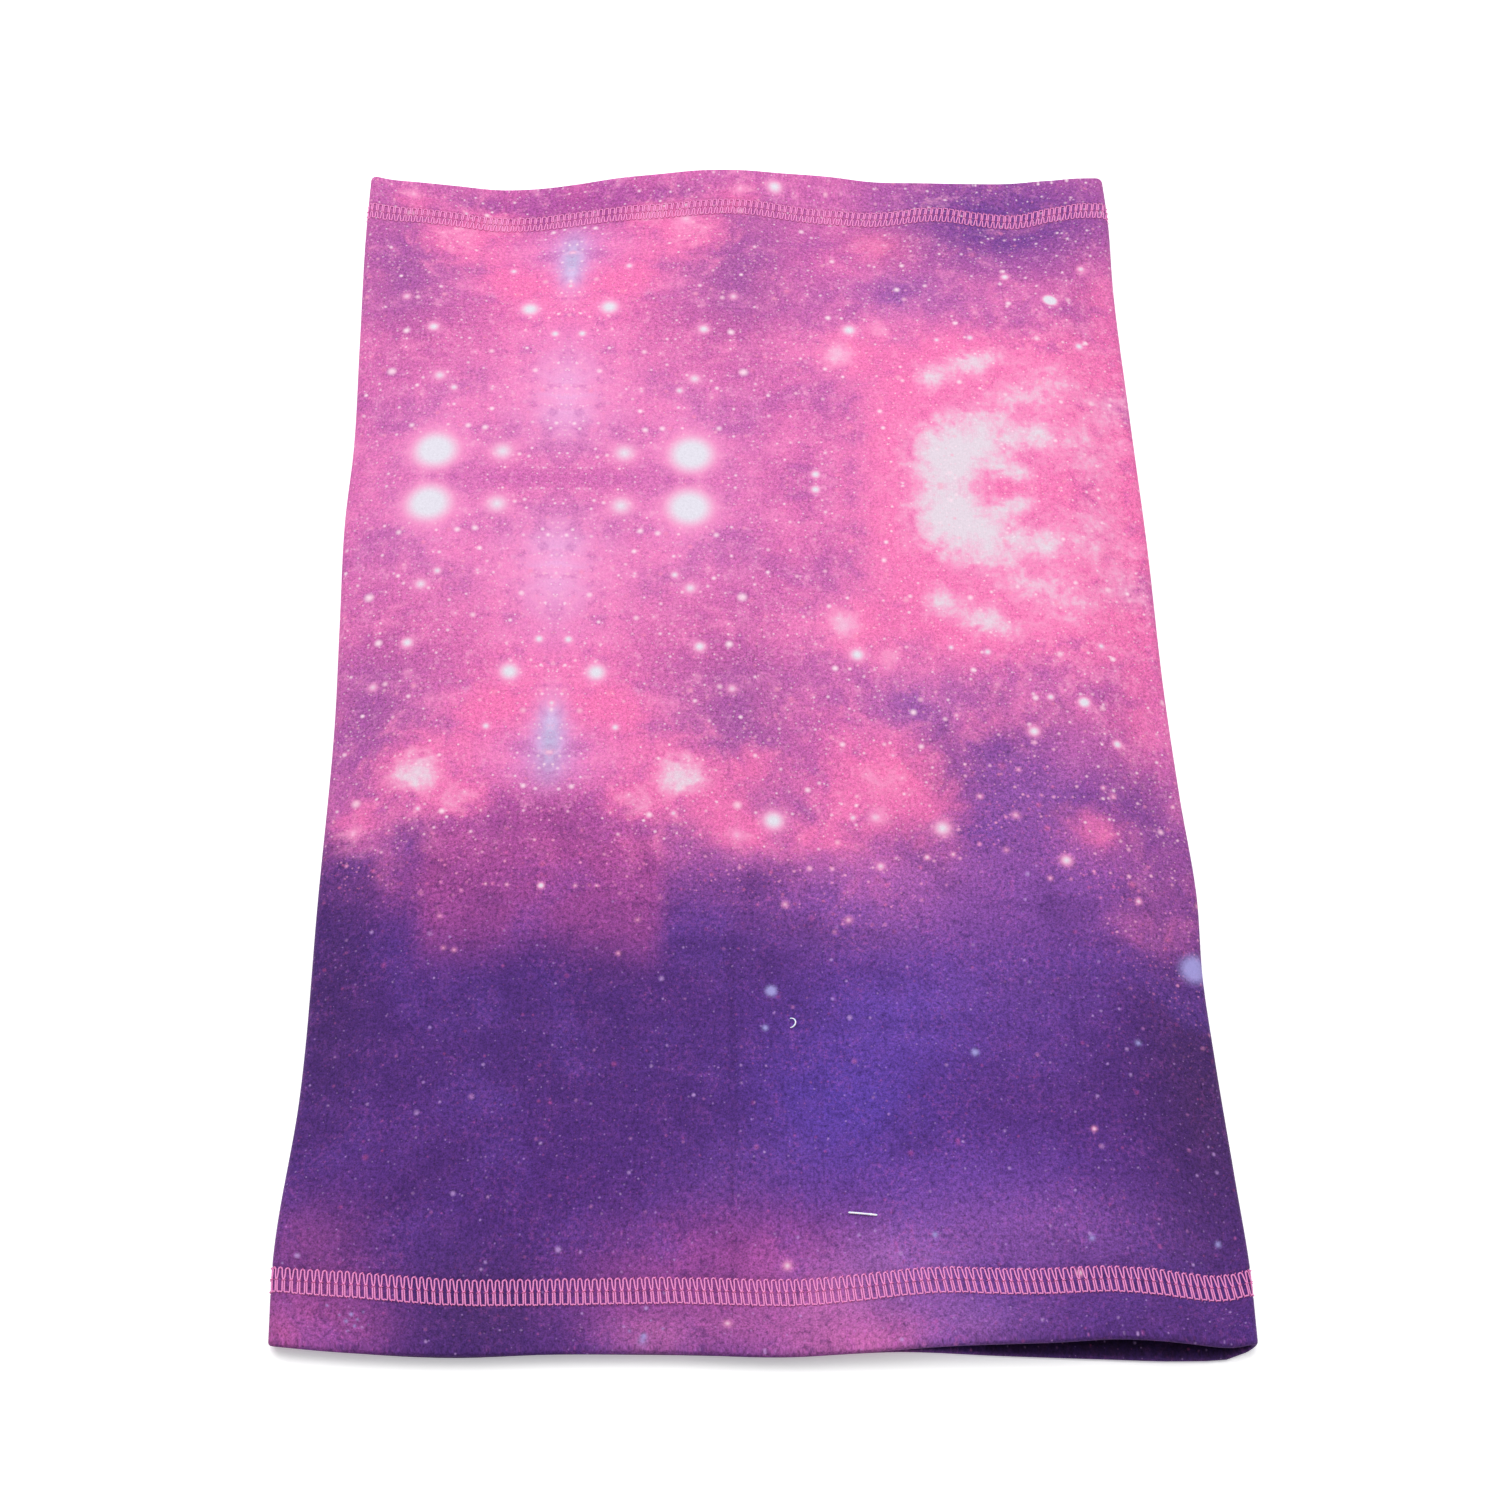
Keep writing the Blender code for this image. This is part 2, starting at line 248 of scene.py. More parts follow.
# The print. Its coordinates are those of the laid front layer, and the back layer repeats it in reverse.
MIRROR_AT = (-58.0, 70.2)
MIRROR_TURN = math.radians(1.46)
PRINT_GAIN = 0.80

# Soft patches of the nebula, with a few of painted shade in the night's list: middle (two), size (two),
# amount, and red, green and blue in per cent. The day's are given along and across its mirror lines.
DAY = (0.875, 0.44, 0.705)
DAY_PATCHES = [
    (54, 90, 19, 32, 1, 66, 35, 63), (58, 26, 12, 40, 0.45, 77, 39, 67),
    (36, 74, 12, 14, 0.3, 79, 40, 68), (82, 30, 10, 30, 0.6, 80, 41, 69),
    (0, 78, 26, 18, 0.95, 97.5, 47, 71), (0, 62, 14, 10, 0.5, 96, 52, 77),
    (0, 34, 17, 21, 0.95, 95, 71, 90), (40, 30, 10, 8, 0.5, 98, 57, 79), (40, 14, 20, 20, 0.75, 94, 55, 79),
    (24, 46, 24, 14, 0.45, 95, 53, 76), (20, 0, 34, 4, 0.75, 80, 40, 69),
    (0, 104, 16, 8, 0.7, 91, 54, 80), (0, 96, 4.5, 14, 1, 85, 80, 95), (0, 98, 9, 16, 0.55, 86, 62, 87),
    (0, 97, 2.4, 9, 0.8, 80, 86, 96), (38, 106, 14, 14, 0.7, 95.5, 50, 73),
    (40, 84, 12, 20, 0.35, 72, 38, 66), (8, 124, 28, 10, 0.9, 69, 30, 60), (34, 125, 7, 6, 0.6, 58, 30, 60),
    (145, 8, 50, 66, 0.95, 95.5, 47, 70), (176, 18, 22, 60, 0.65, 94, 41, 65),
    (136, 24, 32, 30, 0.55, 98, 58, 77.5), (112, 14, 14, 30, 0.5, 97, 57, 79),
    (92, 56, 13, 11, 0.85, 97.5, 56, 77), (144, 120, 44, 27, 1, 42, 24, 57),
    (54, 112, 18, 18, 0.45, 66, 34, 63), (110, 82, 17, 10, 0.85, 58, 34, 66),
    (82, 78, 12, 12, 0.4, 66, 36, 66), (101, 106, 12, 9, 0.9, 92, 46, 67),
    (84, 98, 13, 13, 0.6, 80, 38, 67), (172, 84, 10, 16, 0.6, 92, 44, 68),
    (140, 76, 24, 9, 0.5, 70, 38, 68), (42, 60, 22, 13, 0.34, 77, 35.5, 63),
]
# Warm pink halos round the pale clouds, then the pale clouds, whose edges break up into puffs: middle,
# size, amount. The first of each are mirrored, and the single ones are not.
HALOS = [(38.4, 107, 17, 15, 0.85), (55, 125, 8, 7, 0.7), (24, 117, 11, 8, 0.6), (92, 56, 12, 11, 0.8),
         (122, 46, 20, 13, 0.7), (131, 20, 26, 36, 0.75), (158, 44, 14, 8, 0.45), (152, 8, 44, 60, 0.75),
         (108, 16, 12, 16, 0.6), (14, 84, 13, 9, 0.7), (24, 90, 7, 8, 0.4), (0, 68, 12, 8, 0.35)]
CLOUDS = [
    (122, 6, 10, 15, 0.75), (128, 18, 13, 10, 0.5), (126, 18, 27, 25, 0.34), (147, 20, 12, 8, 0.34),
    (144, 6, 4, 3, 0.75), (137, 9, 3.5, 2.5, 0.45), (152, 22, 6, 4, 0.35), (160, 34, 30, 30, 0.2),
    (150, 66, 26, 12, 0.16), (118, 45, 6, 5, 0.85), (130, 51, 7, 5, 0.8), (88, 54, 5, 6, 0.85),
    (101, 64, 5, 4, 0.35), (156, 44, 13, 7, 0.36), (177, 36, 7, 7, 0.38), (146, 38, 9, 5, 0.32),
    (169, 12, 12, 22, 0.34), (138, 31, 10, 6, 0.15), (111, 8, 8, 12, 0.22), (139, 55, 6, 4, 0.42),
    (38.4, 108.5, 9, 8, 0.44), (0, 33, 12, 14, 0.17), (25, 117.5, 6, 5, 0.45), (55, 127, 5, 4.5, 0.45),
    (26.3, 140.5, 3.2, 2.2, 0.4),
]
SINGLE_HALOS = [
    (35, -41, 22, 19, 0.9), (54, -57, 15, 12, 0.75), (-4, -59, 9, 7, 0.34), (0, -36, 8, 8, 0.55),
    (-36, -63, 10, 6, 0.5), (16, -60, 13, 6, 0.55), (32, -76, 8, 6, 0.5), (97, -58, 14, 11, 0.75),
    (108, -88, 12, 9, 0.45), (68, -20, 9, 6, 0.3), (76, -54, 5, 5, 0.25), (-12, -48, 8, 8, 0.45),
    (20, -14, 12, 8, 0.25),
]
SINGLE_CLOUDS = [(-99, -38, 7.5, 7, 0.55), (-22.3, -39.3, 7.5, 7, 0.55), (35, -42, 12, 11, 0.34),
                 (55, -58, 5, 4, 0.34), (34, -52, 4, 3, 0.3), (97, -60, 9, 7, 0.12), (64, 195, 5, 5, 0.4),
                 (-28, 196, 7, 4, 0.3)]
NIGHT = (0.333, 0.185, 0.50)
NIGHT_PATCHES = [
    (60, -78, 80, 22, 0.6, 56, 32, 67), (38, -70, 30, 12, 0.95, 80, 43, 73),
    (40, -86, 26, 10, 0.6, 62, 34, 67), (-14, -68, 26, 11, 0.85, 70, 36, 67),
    (-100, -72, 15, 12, 0.75, 66, 31, 61), (96, -62, 16, 12, 0.8, 86, 44, 72),
    (74, -44, 32, 24, 0.95, 60, 35, 68), (84, -78, 34, 14, 0.6, 54, 32, 67),
    (32, -84, 30, 14, 0.75, 52, 31, 65), (-8, -74, 16, 8, 0.5, 44, 25, 56),
    (22, -140, 26, 22, 0.85, 37, 27, 69), (40, -114, 28, 16, 0.85, 43, 30, 72),
    (70, -104, 30, 14, 0.65, 46, 29, 64), (78, -128, 20, 16, 0.45, 41, 25.5, 59),
    (50, -162, 36, 14, 0.75, 44, 28, 66.5), (-6, -160, 18, 14, 0.65, 43, 27, 61),
    (-100, -152, 24, 14, 0.45, 39, 23, 56), (-60, -120, 56, 24, 0.4, 31.5, 19.5, 48),
    (-85, -178, 14, 8, 0.35, 38, 24, 56), (50, -198, 24, 9, 0.8, 58, 38, 70),
    # The patch at (85, -224) is painted shade on the turned-in cloth inside the near mouth.
    (100, -198, 20, 12, 0.45, 40, 24, 54), (85, -224, 60, 13, 0.9, 20, 12, 28),
    # The long patches at x = -121 and x = 121 are painted shade along the side folds.
    (-8, -96, 22, 8, 0.5, 31, 18.5, 47), (-121, -108, 13, 44, 0.85, 28.5, 17, 41.5),
    (121, -138, 17, 40, 0.9, 28.5, 17.5, 38.5), (104, -180, 18, 16, 0.55, 31, 19, 45),
    (-72, -194, 20, 16, 0.75, 30, 18.5, 42), (-118, -176, 17, 12, 0.65, 57, 29, 57),
    (-121, -201, 15, 11, 0.9, 78, 38, 63), (-103, -199, 12, 9, 0.55, 66, 33, 60),
    (-34, -188, 18, 13, 0.75, 58, 29, 59), (-2, -180, 28, 13, 0.85, 71, 33.5, 65),
    (-6, -196, 26, 10, 0.8, 72, 37, 65), (18, -192, 15, 11, 0.8, 84, 47, 74),
    (36, -182, 20, 12, 0.8, 69, 44, 76), (-29, -201, 13, 7, 0.8, 76, 42, 68),
    (24, -203, 22, 7, 0.85, 88, 47, 74), (72, -176, 28, 13, 0.7, 60, 37, 71),
    (-112, -190, 14, 14, 0.5, 66, 32, 60), (112, -84, 14, 15, 0.75, 60, 32, 61),
    (-118, -72, 12, 8, 0.6, 46, 25, 53), (38, -78, 14, 9, 0.45, 74, 40, 70),
    (98, -30, 14, 14, 0.85, 90, 48, 76), (-50, -64, 26, 7, 0.45, 78, 38, 66),
]
# How far up the tube the night reaches, and how softly it begins, from left to right.
night_edge = curve([
    (-125, -58), (-108, -59), (-95, -56), (-60, -52), (-25, -55), (-8, -60), (6, -60), (20, -61), (34, -57),
    (46, -44), (58, -30), (74, -24), (88, -30), (100, -46), (116, -62), (125, -68),
])
night_softness = curve([(-125, 12), (-60, 16), (0, 15), (30, 20), (50, 24), (74, 22), (95, 32), (116, 34)])

# Round glows: place, radius of the halo, strength. The first list is mirrored about both lines.
GLOWS = [
    (40.4, 10.6, 16.5, 1.3), (19.2, 10.4, 11, 0.72), (13, 72.6, 8, 0.95), (4.4, 60.8, 3.8, 0.85),
    (44, 62.8, 5, 0.85), (41, 41.5, 6, 0.7), (36.2, 36.5, 3.8, 0.75), (79.6, 3, 4, 0.9),
    (91.5, 64.5, 6, 0.9), (88, 54, 10, 0.45), (19.1, 91.9, 3.4, 0.75), (0, 83.5, 2.6, 0.75),
    (53.7, 77.6, 4.6, 0.6), (36.8, 120.5, 2.4, 0.7), (55, 127, 6, 0.45), (24, 36, 2.4, 0.6),
    (30, 52, 2, 0.55), (159, 80, 4.4, 1.1), (131, 62.5, 3, 0.8), (120, 61, 2.6, 0.75),
    (27.6, 155, 2.2, 0.4), (22.8, 165.5, 2, 0.45), (0, 145, 2.3, 0.95), (9.6, 144.8, 1.8, 0.5),
    (15.6, 144.6, 1.4, 0.55),
]
SINGLE_GLOWS = [
    (4.5, -53.5, 8, 0.95), (88, 158, 3.4, 0.9), (101.5, 147, 4, 0.95), (114, 162, 3.6, 0.75),
    (110.5, 127, 3.4, 0.9), (106.3, 7.3, 3, 0.75), (89, -11.9, 3, 0.8), (107.5, -27.5, 3.6, 0.9),
    (82.9, -23.8, 4.6, 0.85), (60.3, -18, 2.4, 0.55), (40.4, -31.9, 2.2, 0.55), (64.8, -46, 2.6, 0.55),
    (104, -45.6, 2.6, 0.45), (101.3, -43, 2, 0.6), (77, -36.9, 2.2, 0.5), (74.6, -52.3, 3.6, 0.5),
    (53, -56.5, 7, 0.75), (34, -52.5, 6, 0.55), (27.5, -52.5, 2.8, 0.7), (47.8, -65.8, 2.4, 0.65),
    (55.3, -65, 2, 0.6), (34.4, -68.5, 3.4, 0.65), (70.6, -63.8, 2.8, 0.4), (87.5, -67.1, 4.6, 0.75),
    (82.3, -72.9, 2.2, 0.5), (107.1, -79.6, 2.6, 0.65), (24.8, -85.6, 3.2, 0.5), (7, -80.5, 3, 0.5),
    (12, 198, 7, 0.85), (-18, 183, 9, 0.5), (6, -181, 3.2, 0.6), (-9.5, -196.5, 3, 0.55),
    (80, -186, 2.4, 0.8), (88, -148.5, 2, 0.6), (-88, -94, 2, 0.4),
]
# The straight-sided haze: middle and half width, how far its sides fade, its end, its end's arch and fade,
# its strength, and where and by how much it weakens.
HAZE_COLOUR = (0.69, 0.31, 0.60)
HAZE_MIDDLE, HAZE_HALF, HAZE_SIDE = 0.5, 30, 8
HAZE_END, HAZE_ARCH, HAZE_FADE = 170, 0.007, (-13, 8)
HAZE_STRENGTH, HAZE_WEAKENS, HAZE_LOSS = 0.95, (126, 162), 0.28
# Painted shade on the near mouth's turned-in edge and the last few millimetres before its fold, which lie in
# shadow: colour, strength, where it begins and is full.
TURNED_SHADE_COLOUR, TURNED_SHADE_STRENGTH, TURNED_SHADE_FADE = (0.15, 0.09, 0.22), 0.93, (-2.5, 3.5)
# Halos, clouds and the clouds' cores as threads see them: start, full, amount, colour.
UNDER_LAYERS = [(0.10, 0.95, 0.72, (0.97, 0.48, 0.71)), (0.15, 0.60, 0.80, (0.97, 0.68, 0.84)),
                (0.45, 1.0, 0.90, (0.935, 0.87, 0.925))]
# Scattered stars: cell, radius, chance that a cell has one, brightness.
DAY_STARS = [(1.7, 0.55, 0.6, 0.55), (3.6, 0.85, 0.5, 0.85), (8.5, 1.35, 0.5, 1.0), (19.0, 2.0, 0.5, 1.0)]
NIGHT_STARS = [(2.0, 0.45, 0.4, 0.4), (5.0, 0.75, 0.42, 0.6), (13.0, 1.15, 0.5, 0.8)]
# Pale blue spots: place, radius, strength.
PALE_SPOTS = [
    (3, -107, 3.4, 0.8), (1, -118, 2.2, 0.55), (58, -126, 2.6, 0.6), (103, -123.5, 2.4, 0.45),
    (122.5, -99.5, 8.5, 0.9), (-31, -202, 4, 0.3), (-104, -195.4, 1.6, 0.4),
    (-102.4, -196.6, 1.3, 0.34), (-105.3, -197.2, 1.7, 0.36), (-103.1, -198.3, 1.2, 0.4),
    (-101, -194.6, 1.1, 0.3), (-107, -195.8, 1, 0.32), (-104.9, -199.7, 1.3, 0.26),
    (-99.6, -197.8, 1, 0.24), (-110.2, -193.6, 1.2, 0.34), (-25.8, -198.8, 1.3, 0.34),
    (-34.2, -199.4, 1.4, 0.3), (-28.8, -196.2, 1.1, 0.32), (-30.6, -200.6, 1.8, 0.3),
    (44, -176, 2.2, 0.45), (84, -177, 2.4, 0.4), (117, -176.5, 2.2, 0.45),
]


def to_linear(colour, gain=PRINT_GAIN):
    """A screen colour as linear light, with the print's gain."""
    c = np.asarray(colour, float)
    return gain * np.where(c <= 0.04045, c / 12.92, ((c + 0.055) / 1.055) ** 2.4)


def tint(red, green, blue, gain=PRINT_GAIN):
    """A screen colour as a shader colour."""
    return (*[float(v) for v in to_linear((red, green, blue), gain)], 1.0)


def mirrored(x, y):
    """Coordinates across and along the print's two mirror lines."""
    dx, dy = x - MIRROR_AT[0], y - MIRROR_AT[1]
    cos, sin = math.cos(MIRROR_TURN), math.sin(MIRROR_TURN)
    return dx * cos - dy * sin, dx * sin + dy * cos


def patch(x, y, x0, y0, wide, high):
    """A soft round patch: 1 in its middle, fading outwards."""
    return np.exp(-(((x - x0) / wide) ** 2) - ((y - y0) / high) ** 2)


def patches(x, y, listed):
    """The sum of listed patches."""
    return sum(amount * patch(x, y, *shape) for *shape, amount in listed)


def painted(colour, listed, x, y):
    """A colour with patches of other colours laid over it, as screen colours."""
    out = np.broadcast_to(np.array(colour, float), x.shape + (3,)).copy()
    for *shape, amount, red, green, blue in listed:
        share = (amount * patch(x, y, *shape))[..., None]
        out = out * (1 - share) + np.array((red, green, blue)) / 100 * share
    return out


def haze(x, y):
    """Share of the straight-sided magenta haze below the mirrored part of the print."""
    a, b = mirrored(x, y)
    across, down = np.abs(a - HAZE_MIDDLE), -b
    sides = 1 - smooth(across, HAZE_HALF, HAZE_HALF + HAZE_SIDE)
    end = HAZE_END - HAZE_ARCH * np.clip(HAZE_HALF - across, 0, HAZE_HALF) ** 2
    inside = 1 - smooth(down, end + HAZE_FADE[0], end + HAZE_FADE[1])
    return sides * inside * (HAZE_STRENGTH - HAZE_LOSS * smooth(down, *HAZE_WEAKENS))


def print_fields(x, y):
    """The print's broad layout at points of the cloth: two washes, and shares of night, halo and cloud."""
    a, b = (np.abs(v) for v in mirrored(x, y))
    day = painted(DAY, DAY_PATCHES, a, b)
    night = painted(NIGHT, NIGHT_PATCHES, x, y)
    # Painted shade: the cloth darkens from just before the near fold onto its turned-in edge.
    turned_shade = TURNED_SHADE_STRENGTH * smooth(-y - HALF_LENGTH, *TURNED_SHADE_FADE)
    for share, colour in ((haze(x, y), HAZE_COLOUR), (turned_shade, TURNED_SHADE_COLOUR)):
        night = night * (1 - share[..., None]) + np.array(colour) * share[..., None]
    halo = patches(a, b, HALOS) + patches(x, y, SINGLE_HALOS)
    cloud = patches(a, b, CLOUDS) + patches(x, y, SINGLE_CLOUDS)
    dark = 0.5 + (night_edge(x) - y) / (2 * night_softness(x))
    return to_linear(day), to_linear(night), dark, halo, cloud


def under_colour(x, y):
    """The print's rough colour, for what lies on it."""
    day, night, dark, halo, cloud = print_fields(x, y)
    colour = day + (night - day) * smooth(dark, 0.0, 1.0)[:, None]
    for field, (start, full, amount, other) in zip((halo, cloud, cloud), UNDER_LAYERS):
        colour = colour + (to_linear(other) - colour) * amount * smooth(field, start, full)[:, None]
    return colour


# Meshes.
LIP = 0.15  # how far the sheet's side edges stand back from the seam's line where it is notched
SEAM_RIDGE = (-3.6, 4.6)  # the stretch of the front layer over the seam, which has finer columns
SEAM_SPARE = 0.5  # how far the seam allowances go on beyond the seam's stitches
MIDDLE_ROWS = 154
HEM_INSIDE = (HEM_DEPTH, 21.5, 19.5, 17.5, 15.5, 13.5, 11.5, 9, 7, 5, 3.4, 2.2)  # rows inside a hem


def new_object(name, points, faces, material):
    """A smooth mesh object from points in millimetres."""
    mesh = bpy.data.meshes.new(name)
    mesh.from_pydata((np.asarray(points) * MM).tolist(), [], faces)
    mesh.polygons.foreach_set("use_smooth", [True] * len(mesh.polygons))
    mesh.materials.append(material)
    mesh.update()
    obj = bpy.data.objects.new(name, mesh)
    bpy.context.scene.collection.objects.link(obj)
    return obj


def add_uv(obj, name, values):
    """A UV map from one (u, v) pair for each vertex."""
    layer = obj.data.uv_layers.new(name=name)
    index = np.zeros(len(obj.data.loops), np.int32)
    obj.data.loops.foreach_get("vertex_index", index)
    layer.data.foreach_set("uv", np.asarray(values, np.float32)[index].ravel())


def add_colour(obj, name, values):
    """A colour attribute from three numbers for each vertex."""
    values = np.column_stack([values, np.ones(len(values))]).astype(np.float32)
    attribute = obj.data.attributes.new(name, "FLOAT_COLOR", "POINT")
    attribute.data.foreach_set("color", values.ravel())


def tube_columns():
    """Distances u round the tube: fine on the front layer and the folds, coarser on the back layer."""
    rear_left = np.linspace(0, LEFT_REAR, 24)[:-1]
    left_arc = LEFT_REAR + np.linspace(0, ARC, 11)[:-1]
    by_seam = FOLD_X + SEAM_X + np.linspace(*SEAM_RIDGE, 12)
    front = np.linspace(0, 2 * FOLD_X, 117)[:-1]
    front = front[(front < by_seam[0] - 0.5) | (front > by_seam[-1] + 0.5)]
    front = LEFT_REAR + ARC + np.sort(np.concatenate([front, by_seam]))
    right_arc = LEFT_REAR + ARC + 2 * FOLD_X + np.linspace(0, ARC, 11)[:-1]
    rear_right = np.linspace(LEFT_REAR + 2 * ARC + 2 * FOLD_X, PERIMETER, 26)
    columns = np.concatenate([rear_left, left_arc, front, right_arc, rear_right])
    columns[0], columns[-1] = LIP, PERIMETER - LIP
    return columns


def hem_rows():
    """Rows of one hem: distance from the mouth, depth, distance along the cloth from the mouth, and
    darkening, partly crushed pile and partly painted shade.
    """
    rows = [(m, 2 * HEM_TURN, -m, 0.0) for m in HEM_INSIDE]
    for angle in np.linspace(0, math.pi, 9):
        across, down = HEM_TURN * math.sin(angle), HEM_TURN * math.cos(angle)
        rows.append((HEM_TURN - across, HEM_TURN + down, HEM_TURN * (angle - math.pi / 2), 0.0))
    rows += [(m, 0.0, m, 0.0) for m in (1.7, 2.8, 4.2, 6, 8, 10, 11.6, 12.7)]
    low, high = STITCH_INSET - CHANNEL_HALF, STITCH_INSET + CHANNEL_HALF
    rows += [(low - 0.2, 0.0, low - 0.2, 0.25), (low + 0.5, PRESSED, low + 0.5, 1.0)]
    rows += [(m, PRESSED, m, 1.0) for m in np.linspace(low + 1.8, high - 1.8, 4)]
    rows += [(high - 0.5, PRESSED, high - 0.5, 1.0), (high + 0.2, 0.0, high + 0.2, 0.25)]
    rows += [(m, 0.0, m, 0.0) for m in (22.4, 23.4, 24.6, 26.2, 28.2)]
    return rows


def tube_rows():
    """Rows (y, depth, y in the print, darkening of crushed pile and painted shade, seamed) from the near
    hem's raw edge to the far hem's.
    """
    near = [(m - HALF_LENGTH, d, along - HALF_LENGTH, p, False) for m, d, along, p in hem_rows()]
    far = [(-y, d, -along, p, s) for y, d, along, p, s in reversed(near)]
    start = near[-1][0]
    between = np.linspace(start, -start, MIDDLE_ROWS)[1:-1]
    middle = [(y, 0.0, y, 0.0, abs(y) <= SEAM_HALF_LENGTH + SEAM_SPARE) for y in between]
    return near + middle + far


def arc(x, z, radius, degrees):
    """Points (x, z) of an arc round a middle, at angles in degrees."""
    return [(x + radius * math.cos(t), z + radius * math.sin(t)) for t in np.radians(degrees)]


def lip_sections():
    """The seam allowances' printed faces as (x, z): the left one from its raw edge, the right one to its."""
    wall = SEAM_X - PLY_GAP - FABRIC
    over_z, under_z = 2.6, 2.4
    inner, outer = 0.3, 0.3 + FABRIC
    left = [(x, over_z) for x in np.linspace(SEAM_EDGE_X, wall + outer, 4)[:-1]]
    left += arc(wall + outer, over_z - inner, inner, (90, 120, 150, 180))
    left += arc(wall - inner, outer, outer, (0, -30, -60, -90))
    half = under_z / 2
    turn = SEAM_X + half
    right = arc(turn, half, half, np.linspace(-90, -270, 8))
    right += [(x, under_z) for x in np.linspace(turn, SEAM_EDGE_X, 4)[1:]]
    return left, right


def print_x(u):
    """Where a column lies across the print: the back layer repeats the front's in reverse."""
    s = u - FRONT_MIDDLE
    half = FOLD_X + ARC / 2
    return np.where(np.abs(s) > half, np.sign(s) * (2 * half - np.abs(s)), s)


def tube_grid():
    """The printed face's points, and what the material needs at each; NaN where the sheet is notched."""
    u = tube_columns()
    lips = [np.array(lip) for lip in lip_sections()]
    before, after = (len(lip) - 1 for lip in lips)
    across = np.concatenate([np.full(before, print_x(u[0])), print_x(u), np.full(after, print_x(u[-1]))])
    grid, print_xy, shade_and_pile = [], [], []
    for y, depth, along, row_shade_and_pile, seamed in tube_rows():
        wall = place(u, np.full(len(u), float(y)), depth)
        if seamed:
            left, right = (bend(lip[:, 0], np.full(len(lip), float(y)), lip[:, 1], 0.0) for lip in lips)
            row = [left, wall[1:-1], right]
        else:
            row = [np.full((before, 3), np.nan), wall, np.full((after, 3), np.nan)]
        grid.append(np.concatenate(row))
        print_xy.append(np.column_stack([across, np.full(len(across), along)]))
        shade_and_pile.append(np.full(len(across), row_shade_and_pile))
    return np.array(grid), np.array(print_xy), np.array(shade_and_pile)


def grid_faces(solid):
    """Faces of a grid, as indices of the points that are there."""
    number = np.cumsum(solid.ravel()).reshape(solid.shape) - 1
    whole = solid[:-1, :-1] & solid[:-1, 1:] & solid[1:, 1:] & solid[1:, :-1]
    corners = [number[:-1, :-1], number[:-1, 1:], number[1:, 1:], number[1:, :-1]]
    return np.stack([c[whole] for c in corners], -1).tolist()


def gaiter_tube(outside, inside):
    """The printed jersey, one sheet: rolled into a tube, seamed at the back, each mouth turned in."""
    grid, print_xy, shade_and_pile = tube_grid()
    solid = ~np.isnan(grid[..., 0])
    obj = new_object("gaiter_tube", grid[solid], grid_faces(solid), outside)
    obj.data.materials.append(inside)
    x, y = print_xy[solid].T
    day, night, dark, halo, cloud = print_fields(x, y)
    add_uv(obj, "print", np.column_stack([x, y]) * MM)
    add_uv(obj, "mirror", np.column_stack(mirrored(x, y)) * MM)
    add_colour(obj, "day_wash", day)
    add_colour(obj, "night_wash", night)
    add_colour(obj, "layout", np.column_stack([dark, halo, cloud]))
    # The stitch channel's darkening is partly pile crushed by the stitching and partly painted shade; the
    # creases with negative heights, the seam's line among them, add painted shade.
    shade_and_pile = shade_and_pile[solid]
    for start, end, width, height in CREASES:
        if height < 0:
            shade_and_pile = shade_and_pile + CREASE_SHADE * crease(x, y, start, end, width)
    add_colour(obj, "crushed_pile_and_shade", np.column_stack([shade_and_pile] * 3))
    modifier = obj.modifiers.new("Thickness", "SOLIDIFY")
    modifier.thickness = FABRIC * MM
    modifier.offset = -1.0
    modifier.use_even_offset = True
    modifier.material_offset = 1
    modifier.material_offset_rim = 1
    return obj


def unit(vectors):
    """Vectors scaled to length 1."""
    return vectors / (np.linalg.norm(vectors, axis=1)[:, None] + 1e-12)


def sweep(path, closed, half_width, half_height, up, sides):
    """Points and faces of an oval tube along a path; its half sizes are numbers, or one for each point."""
    if closed:
        ahead, behind = np.roll(path, -1, 0), np.roll(path, 1, 0)
    else:
        ahead, behind = np.vstack([path[1:], path[-1:]]), np.vstack([path[:1], path[:-1]])
    along = unit(ahead - behind)
    side = unit(np.cross(along, up))
    rise = np.cross(side, along)
    count = len(path)
    angles = np.arange(sides) * 2 * math.pi / sides
    wide = np.outer(np.broadcast_to(half_width, count), np.cos(angles))[..., None]
    high = np.outer(np.broadcast_to(half_height, count), np.sin(angles))[..., None]
    points = path[:, None] + wide * side[:, None] + high * rise[:, None]
    i = np.arange(count if closed else count - 1)[:, None] * sides
    after = (i + sides) % (count * sides)
    k = np.arange(sides)[None]
    turned = (k + 1) % sides
    faces = np.stack([i + k, i + turned, after + turned, after + k], -1).reshape(-1, 4).tolist()
    if not closed:
        faces += [list(range(sides))[::-1], list(range((count - 1) * sides, count * sides))]
    return points.reshape(-1, 3), faces


def thread(name, path, closed, half_sizes, up, material, sides, under):
    """A thread along a path, which keeps its flat side to the cloth; under is the colour that it lies on."""
    points, faces = sweep(path, closed, *half_sizes, up, sides)
    obj = new_object(name, points, faces, material)
    run = np.concatenate([[0], np.cumsum(np.linalg.norm(np.diff(path, axis=0), axis=1))])
    angles = np.arange(sides) * 2 * math.pi / sides
    add_uv(obj, "thread", np.column_stack([np.repeat(run, sides), np.tile(angles, len(path))]))
    add_colour(obj, "under", np.repeat(np.broadcast_to(under, path.shape), sides, 0))
    return obj


